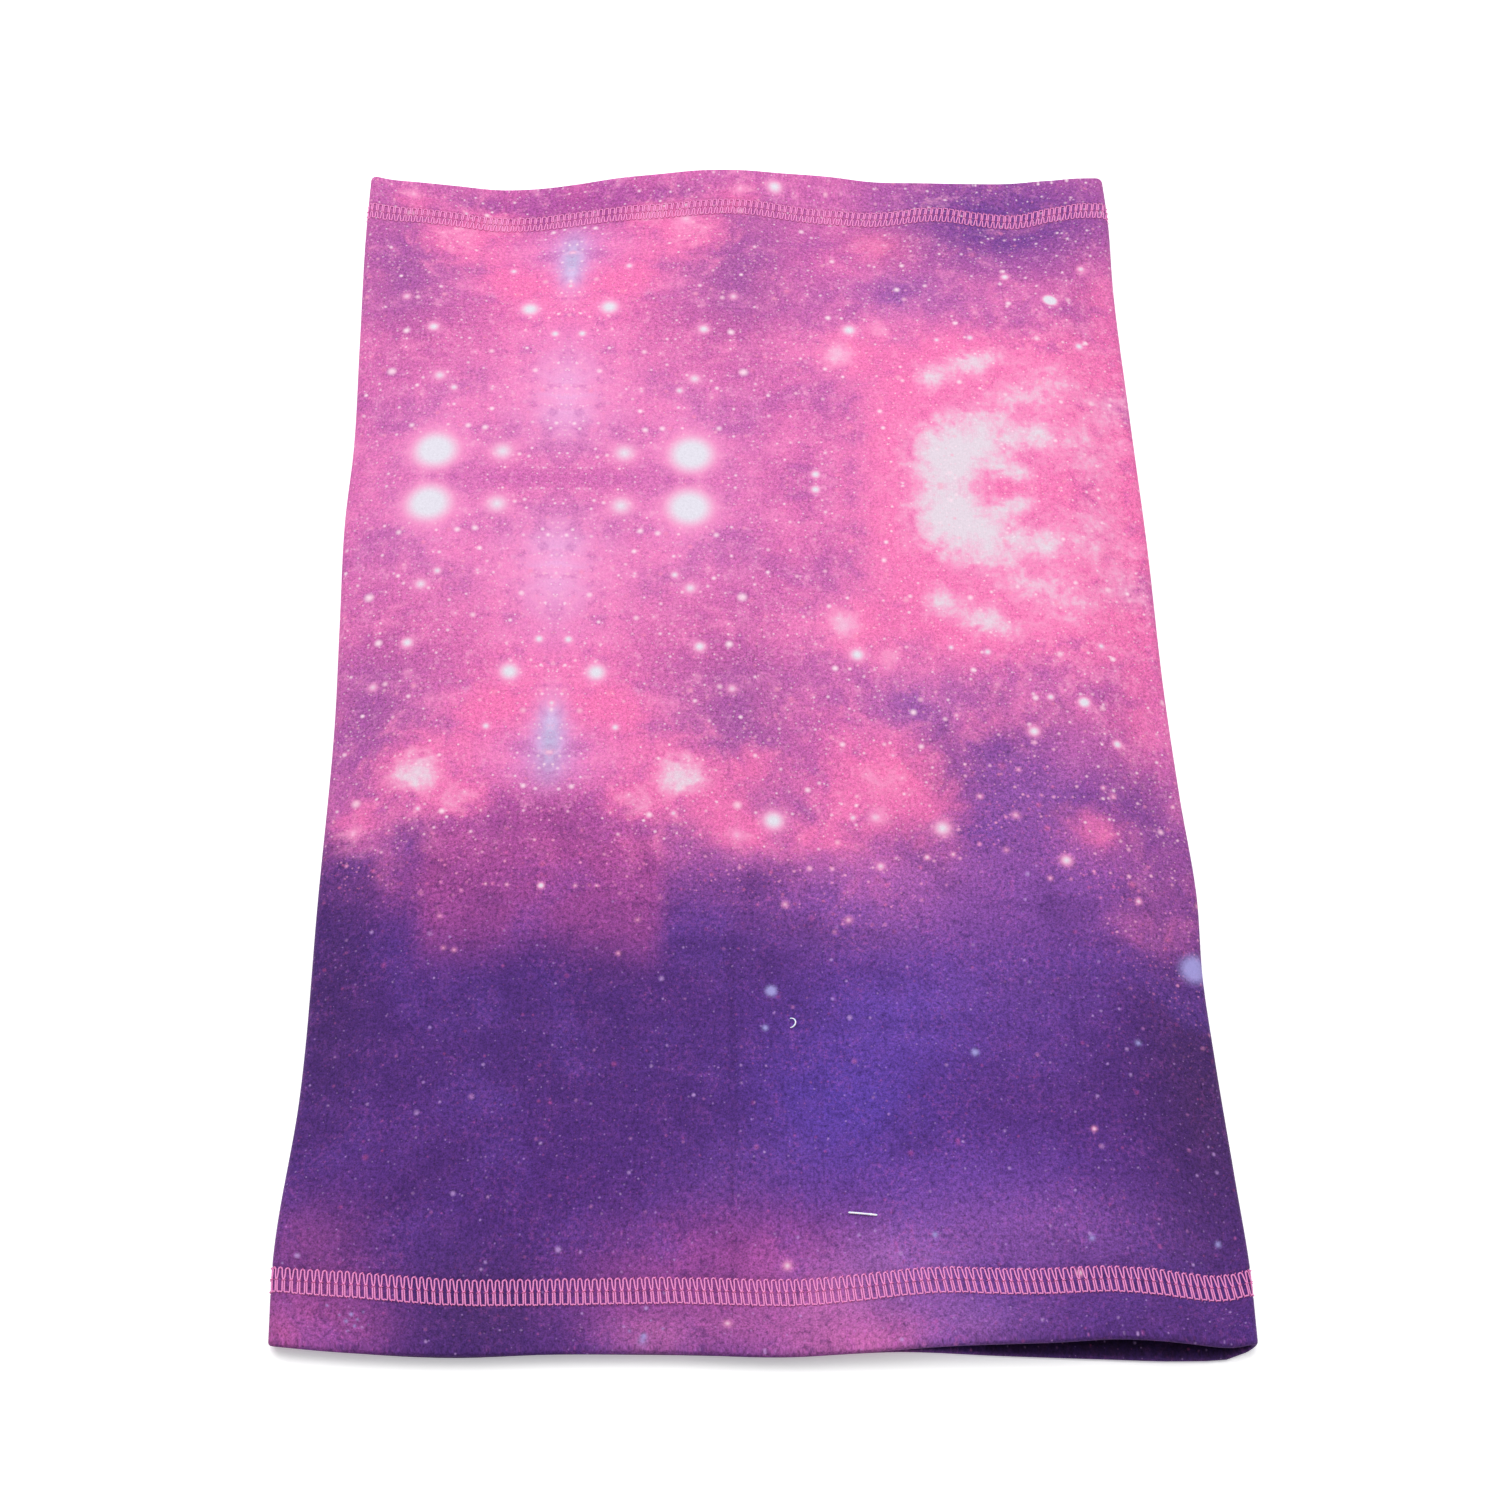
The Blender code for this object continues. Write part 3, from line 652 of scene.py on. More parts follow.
STITCH_LENGTH = 1.9
LOOPS = 2 * round(PERIMETER / STITCH_LENGTH / 2) + 1  # odd, so that the looper closes after two rounds
PITCH = PERIMETER / LOOPS
THREAD_PINK = (0.94, 0.485, 0.75)
NEEDLE_PINK = (0.86, 0.10, 0.42)
THREAD_GAIN = 1.03
LOOPER_HALF_SIZES = (0.23, 0.15)
SEAM_THREAD_HALF_SIZES = (0.16, 0.10)
NEEDLE_RADIUS = 0.125
# A looper stitch: half widths at its top and foot, and a leg's points between its ends (u, v, height).
STITCH_TOP, STITCH_FOOT = 0.47, 0.28
LEG_END = (0.40, 0.10)  # its first and last points: how far from the stitch's ends, and how high
LEG = [(-0.42, 1.9, 0.13), (-0.34, 1.15, 0.15), (-0.26, 0.5, 0.17), (0.0, 0.1, 0.25), (0.26, -0.35, 0.17),
       (0.27, -1.8, 0.14)]
CROSSING_DROP = 0.12  # the rising leg passes under the falling one
# The seam's stitches: pitch, and clearance at the seam's two ends.
SEAM_PITCH, SEAM_CLEAR = 2.4, (1.2, 1.0)
UPWARD = (0.0, 0.0, 1.0)


def hem_place(u, v, depth, end):
    """A point of a hem: v is measured from the middle of the stitching towards the tube's middle."""
    y = end * (HALF_LENGTH - STITCH_INSET - v)
    return place(np.mod(u, PERIMETER), y, depth)


def outward(u):
    """Directions out of the tube at distances u round it."""
    _, _, nx, nz, _ = section(np.mod(u, PERIMETER))
    return np.stack([nx, np.zeros_like(nx), nz], -1)


def stitch_bar(start, end, v, inset, sag, bow, heights):
    """Three points of the bar between two stitches: its ends, set in and sagging, and its bowed middle."""
    low, high = heights
    return [(start + inset, v - sag, low), ((start + end) / 2, v + bow, high), (end - inset, v - sag, low)]


def looper_path():
    """The looper thread's (u, v, height): it rounds the tube twice, and crosses itself at every stitch."""
    lean = [0.05 + 0.11 * float(smooth((k + 0.5) * PITCH - FRONT_MIDDLE, -70, 60)) for k in range(LOOPS)]
    lean = [value + 0.03 * math.sin(k * 0.17) for k, value in enumerate(lean)]
    shift = [random.uniform(-0.10, 0.10) for _ in range(LOOPS)]
    open_ = [random.uniform(0.9, 1.1) for _ in range(LOOPS)]
    top = [NEEDLE_SPACING + random.uniform(-0.10, 0.12) for _ in range(LOOPS)]
    low = [-NEEDLE_SPACING - random.uniform(-0.08, 0.12) for _ in range(LOOPS)]
    inset, height = LEG_END
    points = []
    for step in range(2 * LOOPS):
        k = step % LOOPS
        after = (k + 1) % LOOPS
        lap = PERIMETER if after == 0 else 0.0
        centre, following = (k + 0.5) * PITCH + shift[k], (after + 0.5) * PITCH + shift[after] + lap
        falls = step % 2 == 0
        leg = [(-STITCH_TOP * open_[k], top[k] - inset, height), *LEG,
               (STITCH_FOOT * open_[k], low[k] + inset, height)]
        if not falls:
            leg = [(-du, v, h - (CROSSING_DROP if abs(v) < 0.2 else 0.0)) for du, v, h in reversed(leg)]
        points += [(centre + du - lean[k] * v, v, h) for du, v, h in leg]
        half, v = (STITCH_FOOT, low[k]) if falls else (STITCH_TOP, top[k])
        start = centre + half * open_[k] - lean[k] * v
        end = following - half * open_[after] - lean[after] * v
        if falls:
            points += stitch_bar(start, end, v, 0.10, 0.02, 0.08, (0.06, 0.10))
        else:
            points += stitch_bar(start, end, v, 0.14 * (end - start), 0.12, 0.06, (0.09, 0.07))
    return np.array(points)


def looper_thread(name, end, material):
    """One hem's looper thread, outside the tube."""
    u, v, height = looper_path().T
    depth = PRESSED * (1 - smooth(np.abs(v), CHANNEL_HALF - 1.0, CHANNEL_HALF)) - height
    path = hem_place(u, v, depth, end)
    colour = under_colour(print_x(np.mod(u, PERIMETER)), end * (HALF_LENGTH - STITCH_INSET - v))
    return thread(name, path, True, LOOPER_HALF_SIZES, outward(u), material, 6, colour)


def needle_path(row):
    """A needle thread's (u, v, depth): floats inside the hem, and small loops over the looper."""
    inside = 2 * HEM_TURN + NEEDLE_RADIUS
    v0 = row * NEEDLE_SPACING
    centred = row == 0
    reach_u, reach_v = (0.46, 0.12) if centred else (0.10, 0.22)
    outside = -0.44 if centred else -0.22
    points = []
    for k in range(LOOPS):
        hole = (k + (0.5 if centred else 1.0)) * PITCH + random.uniform(-0.05, 0.05)
        v = v0 + random.uniform(-0.06, 0.06) - (0.12 if row < 0 else 0.0)
        points += [(hole - 0.62, v0, inside)]
        points += [(hole - reach_u, v - reach_v, depth) for depth in (1.0, -0.02)]
        points += [(hole, v, outside)]
        points += [(hole + reach_u, v + reach_v, depth) for depth in (-0.02, 1.0)]
        points += [(hole + 0.62, v0, inside)]
    return np.array(points)


def transported(path):
    """Directions across a closed path that turn with it as little as they can."""
    along = np.roll(path, -1, 0) - np.roll(path, 1, 0)
    along /= np.linalg.norm(along, axis=1)[:, None]
    across = np.zeros_like(path)
    last = np.array([0.0, 1.0, 0.0])
    for i, direction in enumerate(along):
        last = last - direction * (last @ direction)
        last /= np.linalg.norm(last)
        across[i] = last
    return across


def needle_thread(name, end, row, material):
    """One of a hem's three needle threads."""
    u, v, depth = needle_path(row).T
    path = hem_place(u, v, depth, end)
    half_sizes = (NEEDLE_RADIUS, NEEDLE_RADIUS)
    return thread(name, path, True, half_sizes, transported(path), material, 4, to_linear(NEEDLE_PINK))


def seam_thread(name, points, material):
    """A thread of the back seam's overlock, through (x, y, z) on the seam allowances."""
    path = bend(*np.array(points).T, 0.0)
    return thread(name, path, False, SEAM_THREAD_HALF_SIZES, UPWARD, material, 5, to_linear(THREAD_PINK))


def overlock(material):
    """The back seam's three threads: a line of needle stitches and a looper thread on either side."""
    x, top = SEAM_NEEDLE_MIDDLE[0], SEAM_NEEDLE_LOW[2] - 0.14
    under = SEAM_UNDER_HIGH[2]
    over_edge, under_edge = SEAM_EDGE_X + 0.1, SEAM_EDGE_X - 0.3
    needle, upper, lower = [], [], []
    for y in np.arange(-SEAM_HALF_LENGTH + SEAM_CLEAR[0], SEAM_HALF_LENGTH - SEAM_CLEAR[1], SEAM_PITCH):
        needle += [(x, y, top), (x, y + 0.5, top + 0.12), (x, y + 1.5, top + 0.12), (x, y + 1.9, top)]
        upper += [(x + 0.3, y, top + 0.05), (x + 1.6, y + 0.5, top + 0.22), (over_edge, y + 1.0, top + 0.05),
                  (over_edge, y + 1.4, top + 0.05), (x + 1.6, y + 2.0, top + 0.10)]
        lower += [(SEAM_UNDER_LOW[0], y, under)]
        lower += [(under_edge, y + ahead, under - 0.05) for ahead in (0.9, 1.4)]
    return [
        seam_thread("seam_needle_thread", needle, material),
        seam_thread("seam_upper_looper", upper, material),
        seam_thread("seam_lower_looper", lower, material),
    ]


def surface_at(x, y):
    """The front layer's outer face at a place of the laid tube."""
    u = FRONT_MIDDLE + x
    for _ in range(4):
        here = place(np.array([u]), np.array([y]), 0.0)[0]
        u += x - here[0]
    return here


MOULD_FLATNESS, MOULD_SIDES = 0.92, 16
BAR_SLIM, BOW_SLIM = 0.64, 0.80  # the real pieces' thickness as shares of the CAD's
BAR_TURN = math.radians(-6)
BOW_HALF_TURN = 95  # in degrees


def moulded(name, radius, path, material):
    """A moulded piece: a slightly flattened round section whose radius changes along a path."""
    points, faces = sweep(path, False, radius, MOULD_FLATNESS * radius, UPWARD, MOULD_SIDES)
    return new_object(name, points, faces, material)


def tag_bar(material):
    """The tag pin's bar: a short moulded rod, round-ended, with the swelling where its filament joins."""
    half, _, radius = (BAR_HIGH - BAR_LOW) / 2
    t = np.concatenate([[-1, -0.995, -0.97, -0.93], np.linspace(-0.86, 0.86, 25), [0.93, 0.97, 0.995, 1]])
    ends = np.sqrt(np.clip(1 - np.clip((np.abs(t) - 0.90) / 0.10, 0, 1) ** 2, 0.01, 1))
    swelling = 0.92 + 0.10 * np.exp(-(((t - 0.86) / 0.10) ** 2)) + 0.22 * np.exp(-(((t - 0.55) / 0.09) ** 2))
    rise = BAR_SLIM * radius + 0.12 * (1 - t * t)
    path = np.column_stack([t * half * math.cos(BAR_TURN), t * half * math.sin(BAR_TURN), rise])
    path += surface_at(*BAR_MIDDLE[:2])
    return moulded("tag_bar", BAR_SLIM * radius * ends * swelling, path, material)


def tag_filament(material):
    """The end of the tag pin's filament: a small bow that stands out of the cloth."""
    _, tall, thick = (BOW_HIGH - BOW_LOW) / 2
    angles = np.radians(np.linspace(-BOW_HALF_TURN, BOW_HALF_TURN, 23))
    radius = BOW_SLIM * thick * (1 - 0.25 * (np.abs(angles) / angles[-1]) ** 3)
    path = np.column_stack([tall * (np.cos(angles) - 0.72), tall * np.sin(angles),
                            thick * 0.6 + 0.55 * np.cos(angles) - 0.25])
    path += surface_at(*BOW_MIDDLE[:2])
    return moulded("tag_filament", radius, path, material)


# Materials.
class Graph:
    """Short ways to add and join shader nodes. A value is a number, vector, colour or node's output."""

    def __init__(self, name):
        self.material = bpy.data.materials.new(name)
        self.material.use_nodes = True
        self.tree = self.material.node_tree
        self.shader = self.tree.nodes["Principled BSDF"]

    def plug(self, socket, value):
        """Joins a node's output to a socket, or sets the socket's own value."""
        if isinstance(value, bpy.types.NodeSocket):
            self.tree.links.new(value, socket)
        elif value is not None:
            socket.default_value = value

    def node(self, kind, **settings):
        made = self.tree.nodes.new("ShaderNode" + kind)
        for name, value in settings.items():
            setattr(made, name, value)
        return made

    def math(self, operation, *values, clamp=False):
        made = self.node("Math", operation=operation, use_clamp=clamp)
        for socket, value in zip(made.inputs, values):
            self.plug(socket, value)
        return made.outputs[0]

    def swing(self, noise, amount, base):
        """A base value that noise moves up and down."""
        return self.math("MULTIPLY_ADD", self.math("SUBTRACT", noise, 0.5), amount, base)

    def vector(self, operation, *values, scale=None):
        made = self.node("VectorMath", operation=operation)
        for socket, value in zip(made.inputs, values):
            self.plug(socket, value)
        if scale is not None:
            made.inputs["Scale"].default_value = scale
        return made.outputs["Value" if operation == "DISTANCE" else "Vector"]

    def uv(self, name, scale=1 / MM):
        """A UV map, in millimetres."""
        made = self.node("UVMap", uv_map=name)
        return self.vector("SCALE", made.outputs[0], scale=scale)

    def attribute(self, name):
        return self.node("Attribute", attribute_name=name).outputs["Color"]

    def parts(self, colour):
        """A colour's red, green and blue."""
        made = self.node("SeparateColor")
        self.plug(made.inputs[0], colour)
        return made.outputs

    def grey(self, value):
        """One value as a grey vector."""
        made = self.node("CombineXYZ")
        for socket in made.inputs:
            self.plug(socket, value)
        return made.outputs[0]

    def noise(self, vector, size, detail=3.0, roughness=0.55, distortion=0.0):
        """Soft noise from 0 to 1, with features of a size in millimetres."""
        made = self.node("TexNoise", noise_dimensions="2D")
        self.plug(made.inputs["Vector"], vector)
        made.inputs["Scale"].default_value = 1 / size
        made.inputs["Detail"].default_value = detail
        made.inputs["Roughness"].default_value = roughness
        made.inputs["Distortion"].default_value = distortion
        return made.outputs["Fac"]

    def cells(self, vector, size):
        """Distance to scattered points, in millimetres, and a random colour for each."""
        made = self.node("TexVoronoi", voronoi_dimensions="2D")
        self.plug(made.inputs["Vector"], vector)
        made.inputs["Scale"].default_value = 1 / size
        return self.math("MULTIPLY", made.outputs["Distance"], size), self.parts(made.outputs["Color"])

    def fit(self, value, low, high, to_low=0.0, to_high=1.0, kind="SMOOTHSTEP"):
        """A value's way from low to high, as a way from to_low to to_high, level beyond both."""
        made = self.node("MapRange", interpolation_type=kind)
        for socket, given in zip(made.inputs, (value, low, high, to_low, to_high)):
            self.plug(socket, given)
        return made.outputs[0]

    def mix(self, share, a, b):
        made = self.node("Mix", data_type="RGBA")
        for index, value in ((0, share), (6, a), (7, b)):
            self.plug(made.inputs[index], value)
        return made.outputs[2]

    def wash(self, colour, rows, noises, lift=None):
        """A colour with tints washed over it, each where its noise passes from one value to another."""
        for name, start, full, amount, other, lifted in rows:
            share = self.fit(noises[name], start, full, 0, amount)
            if lifted:
                share = self.math("MULTIPLY", lift, share)
            colour = self.mix(share, colour, tint(*other))
        return colour

    def bump(self, height, distance, strength):
        made = self.node("Bump")
        made.inputs["Strength"].default_value = strength
        made.inputs["Distance"].default_value = distance * MM
        self.plug(made.inputs["Height"], height)
        return made.outputs[0]

    def finish(self, colour, roughness, normal, **constants):
        self.plug(self.shader.inputs["Base Color"], colour)
        self.plug(self.shader.inputs["Roughness"], roughness)
        self.plug(self.shader.inputs["Normal"], normal)
        for name, value in constants.items():
            self.shader.inputs[name.replace("_", " ").title().replace("Ior", "IOR")].default_value = value
        return self.material


def spots(g, vector, places):
    """Round glows as one value: a square law of the distance from each place, added up."""
    total = 0.0
    for x, y, radius, strength in places:
        away = g.vector("DISTANCE", vector, (x, y, 0.0))
        rise = g.fit(away, radius, 0.0, 0.0, math.sqrt(strength), kind="LINEAR")
        total = g.math("MULTIPLY_ADD", rise, rise, total)
    return total


def star_layer(g, vector, stars, warm, pale, colour):
    """Scattered stars over a colour: soft dots of uneven size and brightness, one in a cell at the most."""
    cell, radius, chance, strength = stars
    away, rand = g.cells(vector, cell)
    small = g.math("MULTIPLY", rand[0], rand[0])
    dot = g.fit(away, g.math("MULTIPLY_ADD", small, 0.65 * radius, 0.50 * radius), 0.0)
    shown = g.math("LESS_THAN", rand[1], chance)
    bright = g.math("MULTIPLY_ADD", rand[2], 0.70 * strength, 0.30 * strength)
    amount = g.math("MULTIPLY", g.math("MULTIPLY", dot, shown), bright, clamp=True)
    return g.mix(amount, colour, g.mix(g.fit(rand[2], 0.25, 0.75), warm, pale))


COURSE_HEIGHT, WALE_WIDTH = 0.62, 0.74
# Washes over the print's broad colours: noise, where it starts and is full, amount, colour, and whether it
# grows with the colour under it.
NIGHT_WASHES = [("broad", 0.50, 0.74, 0.26, (0.44, 0.30, 0.70), False),
                ("broad", 0.48, 0.28, 0.30, (0.28, 0.16, 0.42), False),
                ("fine", 0.46, 0.80, 0.16, (0.60, 0.32, 0.68), False),
                ("fine", 0.52, 0.24, 0.28, (0.25, 0.13, 0.40), False)]
DAY_WASHES = [("broad", 0.49, 0.70, 0.42, (0.66, 0.34, 0.65), False),
              ("broad", 0.49, 0.30, 0.42, (0.99, 0.53, 0.76), True),
              ("puffs", 0.50, 0.74, 0.34, (0.98, 0.60, 0.81), True),
              ("puffs", 0.48, 0.28, 0.38, (0.68, 0.34, 0.65), False),
              ("dust", 0.54, 0.78, 0.38, (1.0, 0.72, 0.87), True),
              ("dust", 0.46, 0.24, 0.30, (0.70, 0.33, 0.64), False)]
NIGHT_DUST, NIGHT_SHADE = (0.74, 0.36, 0.69), (0.22, 0.13, 0.38)
HALO_PINK, CLOUD_PINK, CLOUD_WHITE = (0.98, 0.47, 0.71), (0.975, 0.66, 0.82), (0.90, 0.855, 0.90)
GLOW_PINK, GLOW_WHITE, SPOT_BLUE = (0.985, 0.62, 0.81), (0.895, 0.885, 0.93), (0.66, 0.63, 0.88)
# Warm and pale stars of the day, of the day's dark parts, and of the night.
DAY_STAR_COLOURS = (1.0, 0.56, 0.72), (1.0, 0.88, 0.94)
DUSK_STAR_COLOURS = (0.90, 0.40, 0.64), (0.98, 0.62, 0.82)
NIGHT_STAR_COLOURS = (0.80, 0.34, 0.62), (0.78, 0.62, 0.88)


def knit_height(g, vector):
    """The jersey's surface: faint columns of stitches under a brushed nap."""
    made = g.node("SeparateXYZ")
    g.plug(made.inputs[0], vector)
    x, y = made.outputs[0], made.outputs[1]
    course = g.math("SINE", g.math("MULTIPLY", y, 2 * math.pi / COURSE_HEIGHT))
    wale = g.math("MULTIPLY_ADD", course, 0.55, g.math("MULTIPLY", x, 2 * math.pi / WALE_WIDTH))
    return g.math("MULTIPLY_ADD", g.math("SINE", wale), 0.12, g.noise(vector, 0.42, 3.0, 0.6))


def night_sky(g, at, wash):
    """The lower half of the print: deep violet, mottled with blue, with patches of magenta dust."""
    noises = {"broad": g.noise(at, 30, 6.0, 0.60, 0.3), "fine": g.noise(at, 6.0, 5.0, 0.65)}
    colour = g.wash(wash, NIGHT_WASHES, noises)
    dust = g.noise(at, 1.5, 3.0, 0.70)
    patchy = g.fit(g.noise(at, 15, 4.0, 0.62, 0.4), 0.42, 0.66, 0.06, 0.62)
    red = g.fit(g.parts(wash)[0], 0.02, 0.40, 0.10, 1.35, kind="LINEAR")
    share = g.math("MULTIPLY", g.math("MULTIPLY", g.fit(dust, 0.48, 0.72), patchy), red, clamp=True)
    colour = g.mix(share, colour, tint(*NIGHT_DUST))
    return g.mix(g.fit(dust, 0.50, 0.30, 0, 0.30), colour, tint(*NIGHT_SHADE))


def day_sky(g, fold, wash, halo, cloud):
    """The upper half of the print: a pink nebula with pale clouds, mirrored about two lines."""
    puffs, dust = g.noise(fold, 8.0, 5.0, 0.64, 0.4), g.noise(fold, 3.0, 4.0, 0.66)
    noises = {"broad": g.noise(fold, 22, 6.0, 0.62, 0.4), "puffs": puffs, "dust": dust}
    lift = g.fit(g.parts(wash)[0], 0.10, 0.50, 0.40, 1.0, kind="LINEAR")
    colour = g.wash(wash, DAY_WASHES, noises, lift)
    colour = g.mix(g.fit(g.swing(puffs, 1.0, halo), 0.15, 0.90, 0, 0.72), colour, tint(*HALO_PINK))
    shape = g.swing(dust, 0.70, g.swing(puffs, 0.9, cloud))
    colour = g.mix(g.fit(shape, 0.10, 0.80, 0, 0.80), colour, tint(*CLOUD_PINK))
    return g.mix(g.fit(shape, 0.46, 1.15, 0, 0.95), colour, tint(*CLOUD_WHITE))


def starry_sky(g, at, fold, dark, halo, cloud):
    """The print without its glows: the day above, the night below, and scattered stars over both."""
    edge = g.swing(g.noise(at, 17, 7.0, 0.66, 0.5), 1.7, dark)
    nightly = g.fit(g.math("MULTIPLY_ADD", halo, -0.55, edge), -0.10, 1.10)
    day = day_sky(g, fold, g.attribute("day_wash"), halo, cloud)
    night = night_sky(g, at, g.attribute("night_wash"))
    colour = g.mix(nightly, day, night)
    day_stars = [g.mix(nightly, tint(*a), tint(*b)) for a, b in zip(DAY_STAR_COLOURS, DUSK_STAR_COLOURS)]
    for stars in DAY_STARS:
        colour = star_layer(g, fold, stars, *day_stars, colour)
    # Away from the day, the mirrored stars give way to fewer, plainer ones.
    night_stars = [tint(*a) for a in NIGHT_STAR_COLOURS]
    for stars in NIGHT_STARS:
        night = star_layer(g, at, stars, *night_stars, night)
    deep = g.fit(g.math("MULTIPLY_ADD", halo, -0.5, dark), 0.95, 1.6)
    return g.mix(deep, colour, night)


def glowing(g, at, fold, colour):
    """Round glows over a colour, white inside and pink round them, and the pale blue spots."""
    glow = g.math("ADD", spots(g, fold, GLOWS), spots(g, at, SINGLE_GLOWS))
    colour = g.mix(g.fit(glow, 0.0, 0.55, 0, 0.85), colour, tint(*GLOW_PINK))
    colour = g.mix(g.fit(glow, 0.24, 0.80, 0, 0.98), colour, tint(*GLOW_WHITE))
    return g.mix(g.fit(spots(g, at, PALE_SPOTS), 0.03, 0.50, 0, 0.90), colour, tint(*SPOT_BLUE))


def printed_jersey():
    """The tube's printed face."""
    g = Graph("printed_jersey")
    at, fold = g.uv("print"), g.vector("ABSOLUTE", g.uv("mirror"))
    colour = glowing(g, at, fold, starry_sky(g, at, fold, *g.parts(g.attribute("layout"))[:3]))
    # The brushed fibres show most where the print is dark. The stitch channel darkens with crushed pile and
    # painted shade, and the creases and the seam's line with painted shade.
    grain, fibre = g.noise(at, 0.95, 2.0, 0.7), g.noise(at, 0.45, 2.0, 0.6)
    depth = g.fit(g.parts(colour)[1], 0.06, 0.26, 1.0, 0.16)
    shade = g.math("MULTIPLY_ADD", g.swing(grain, 1.35, g.swing(fibre, 1.1, 0.0)), depth, 1.0)
    shade_and_pile = g.parts(g.attribute("crushed_pile_and_shade"))[0]
    shade = g.math("MULTIPLY", shade, g.math("MULTIPLY_ADD", shade_and_pile, -0.16, 1.0))
    colour = g.vector("MULTIPLY", colour, g.grey(shade))
    normal = g.bump(knit_height(g, at), 0.11, 0.55)
    rough = g.fit(grain, 0.2, 0.8, 0.80, 0.94, kind="LINEAR")
    return g.finish(colour, rough, normal, sheen_weight=0.10, sheen_roughness=0.45, specular_ior_level=0.12,
                    sheen_tint=(1.0, 0.55, 0.85, 1.0))


def jersey_reverse():
    """The unprinted inside: off-white, with a little of the print showing through."""
    g = Graph("jersey_reverse")
    at = g.uv("print")
    through = g.fit(g.noise(at, 20, 4.0), 0.3, 0.7, 0.12, 0.30)
    colour = g.mix(through, tint(0.93, 0.90, 0.93), tint(0.86, 0.62, 0.80))
    shade = g.math("MULTIPLY_ADD", g.noise(at, 0.6, 3.0, 0.6), 0.24, 0.88)
    normal = g.bump(knit_height(g, at), 0.14, 0.6)
    return g.finish(g.vector("MULTIPLY", colour, g.grey(shade)), 0.92, normal, sheen_weight=0.25,
                    sheen_roughness=0.5, specular_ior_level=0.2)


def sewing_thread():
    """Pink textured polyester, which takes a little colour from the print that it lies on."""
    g = Graph("pink_thread")
    at = g.uv("thread", scale=1.0)
    made = g.node("SeparateXYZ")
    g.plug(made.inputs[0], at)
    run, angle = made.outputs[0], made.outputs[1]
    twist = g.math("SINE", g.math("MULTIPLY_ADD", run, 2 * math.pi / 0.55, angle))
    fibre = g.noise(at, 0.35, 3.0, 0.6)
    colour = g.mix(0.27, tint(*THREAD_PINK, THREAD_GAIN), g.attribute("under"))
    colour = g.mix(g.fit(fibre, 0.4, 0.8, 0, 0.35), colour, tint(0.98, 0.68, 0.86, THREAD_GAIN))
    # Painted highlight: the thread is lighter along its upper side.
    painted_top_highlight = g.fit(g.math("SINE", angle), 0.35, 1.0, 0, 0.28)
    colour = g.mix(painted_top_highlight, colour, tint(0.90, 0.70, 0.87, THREAD_GAIN))
    shade = g.math("MULTIPLY_ADD", twist, 0.06, 0.99)
    colour = g.vector("MULTIPLY", colour, g.grey(shade))
    normal = g.bump(g.math("MULTIPLY_ADD", twist, 0.4, fibre), 0.03, 0.35)
    return g.finish(colour, 0.62, normal, sheen_weight=0.06, sheen_roughness=0.4, specular_ior_level=0.14,
                    sheen_tint=(1.0, 0.6, 0.85, 1.0))


def moulded_nylon():
    """The tag pin: milky clear nylon with faint flow marks."""
    g = Graph("milky_nylon")
    where = g.vector("SCALE", g.node("TexCoord").outputs["Object"], scale=1 / MM)
    cloudy = g.noise(where, 1.6, 3.0)
    colour = g.mix(cloudy, tint(0.97, 0.96, 0.99, 1.0), tint(0.88, 0.86, 0.93, 1.0))
    normal = g.bump(g.noise(where, 0.5, 3.0), 0.03, 0.4)
    rough = g.fit(cloudy, 0.3, 0.7, 0.26, 0.42, kind="LINEAR")
    return g.finish(colour, rough, normal, ior=1.53, subsurface_weight=0.35, subsurface_scale=0.0006)


def soft_floor():
    """The table top's plain, nearly white material."""
    g = Graph("pale_floor")
    grain = g.noise(g.node("TexCoord").outputs["Object"], 0.3, 3.0)
    colour = g.mix(grain, (0.975, 0.975, 0.975, 1), (0.985, 0.985, 0.985, 1))
    return g.finish(colour, 0.9, None, specular_ior_level=0.1, emission_color=(1.0, 1.0, 1.0, 1.0),
                    emission_strength=0.28)


# The stage.
CAMERA_AT = Vector((-22.0, -410.4, 607.6)) * MM
CAMERA_PITCH = math.radians(57.485)
CAMERA_YAW = math.radians(-3.207)
CAMERA_ROLL = math.radians(2.571)
CAMERA_LENS = 58.92
SENSOR = 36.0


def stage_camera():
    """The photograph's view: from above the near mouth, looking down along the tube."""
    data = bpy.data.cameras.new("camera")
    data.lens, data.sensor_width = CAMERA_LENS, SENSOR
    data.clip_start, data.clip_end = 0.01, 20
    camera = bpy.data.objects.new("camera", data)
    bpy.context.scene.collection.objects.link(camera)
    turn = Matrix.Rotation(CAMERA_YAW, 3, "Z") @ Matrix.Rotation(math.pi / 2 - CAMERA_PITCH, 3, "X")
    turn = turn @ Matrix.Rotation(CAMERA_ROLL, 3, "Z")
    camera.matrix_world = Matrix.Translation(CAMERA_AT) @ turn.to_4x4()
    bpy.context.scene.camera = camera


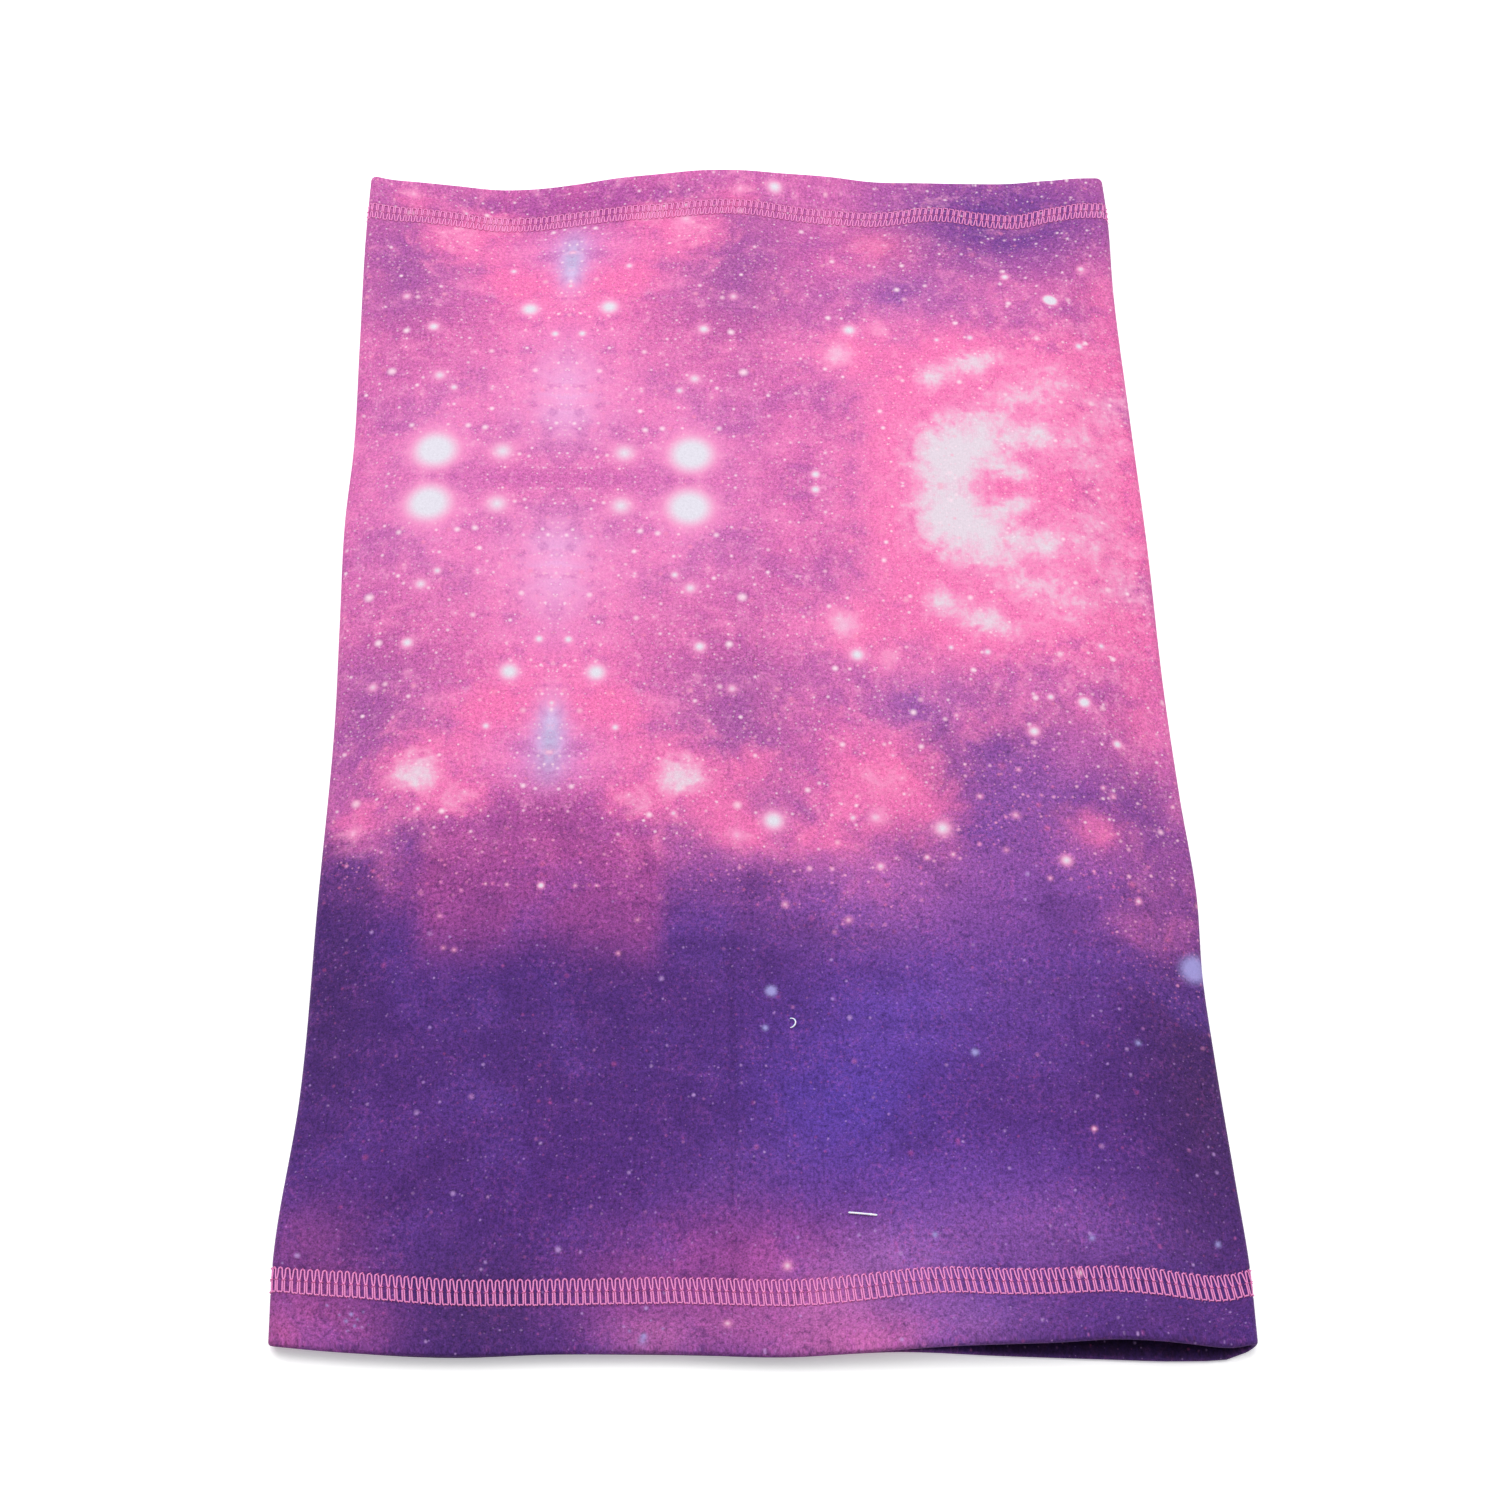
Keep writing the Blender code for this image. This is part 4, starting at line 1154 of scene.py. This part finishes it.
def area_light(name, place_m, size, power):
    """A square soft light that faces the object's middle."""
    data = bpy.data.lights.new(name, "AREA")
    data.shape, data.size, data.energy = "SQUARE", size, power
    light = bpy.data.objects.new(name, data)
    light.location = place_m
    light.rotation_euler = (-Vector(place_m)).to_track_quat("-Z", "Y").to_euler()
    bpy.context.scene.collection.objects.link(light)


def stage_lights():
    """Soft light, most of it from above and behind the far mouth."""
    world = bpy.data.worlds.new("studio")
    world.use_nodes = True
    background = world.node_tree.nodes["Background"]
    background.inputs["Color"].default_value = (1.0, 1.0, 1.0, 1.0)
    background.inputs["Strength"].default_value = 0.34
    bpy.context.scene.world = world
    area_light("key", (-0.5, 0.9, 1.7), 2.0, 33.0)
    area_light("top", (0.5, 0.2, 2.0), 2.0, 23.0)
    bpy.context.scene.view_settings.view_transform = "Standard"


def stage_floor():
    """A plain pale table top."""
    half_size, steps, below = 3.0, 8, 0.00012
    ticks = np.linspace(-half_size, half_size, steps + 1)
    points = [(x / MM, y / MM, -below / MM) for y in ticks for x in ticks]
    floor = new_object("floor", points, grid_faces(np.ones((steps + 1, steps + 1), bool)), soft_floor())
    return floor


def main():
    stage_camera()
    stage_lights()
    floor = stage_floor()
    outside, inside, pink, nylon = printed_jersey(), jersey_reverse(), sewing_thread(), moulded_nylon()
    tube = gaiter_tube(outside, inside)
    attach(tube, "root")
    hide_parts("tube_panel")

    threads = []
    for hem, end in (("lower", -1), ("upper", 1)):
        looper = looper_thread(f"{hem}_hem_looper", end, pink)
        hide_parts(f"{hem}_hem_looper_thread")
        threads.append(looper)
        for number, row in ((1, -1), (2, 0), (3, 1)):
            needle = needle_thread(f"{hem}_hem_needle_{number}", end, row, pink)
            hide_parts(f"{hem}_hem_needle_thread_{number}")
            threads.append(needle)
    seam = overlock(pink)
    for piece, node in zip(seam, ("needle_thread", "upper_looper_thread", "lower_looper_thread")):
        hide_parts("back_seam_" + node)
    bar, filament = tag_bar(nylon), tag_filament(nylon)
    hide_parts("tag_pin_bar")
    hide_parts("tag_pin_filament")
    for piece in threads + seam + [bar, filament]:
        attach(piece, "root")


main()
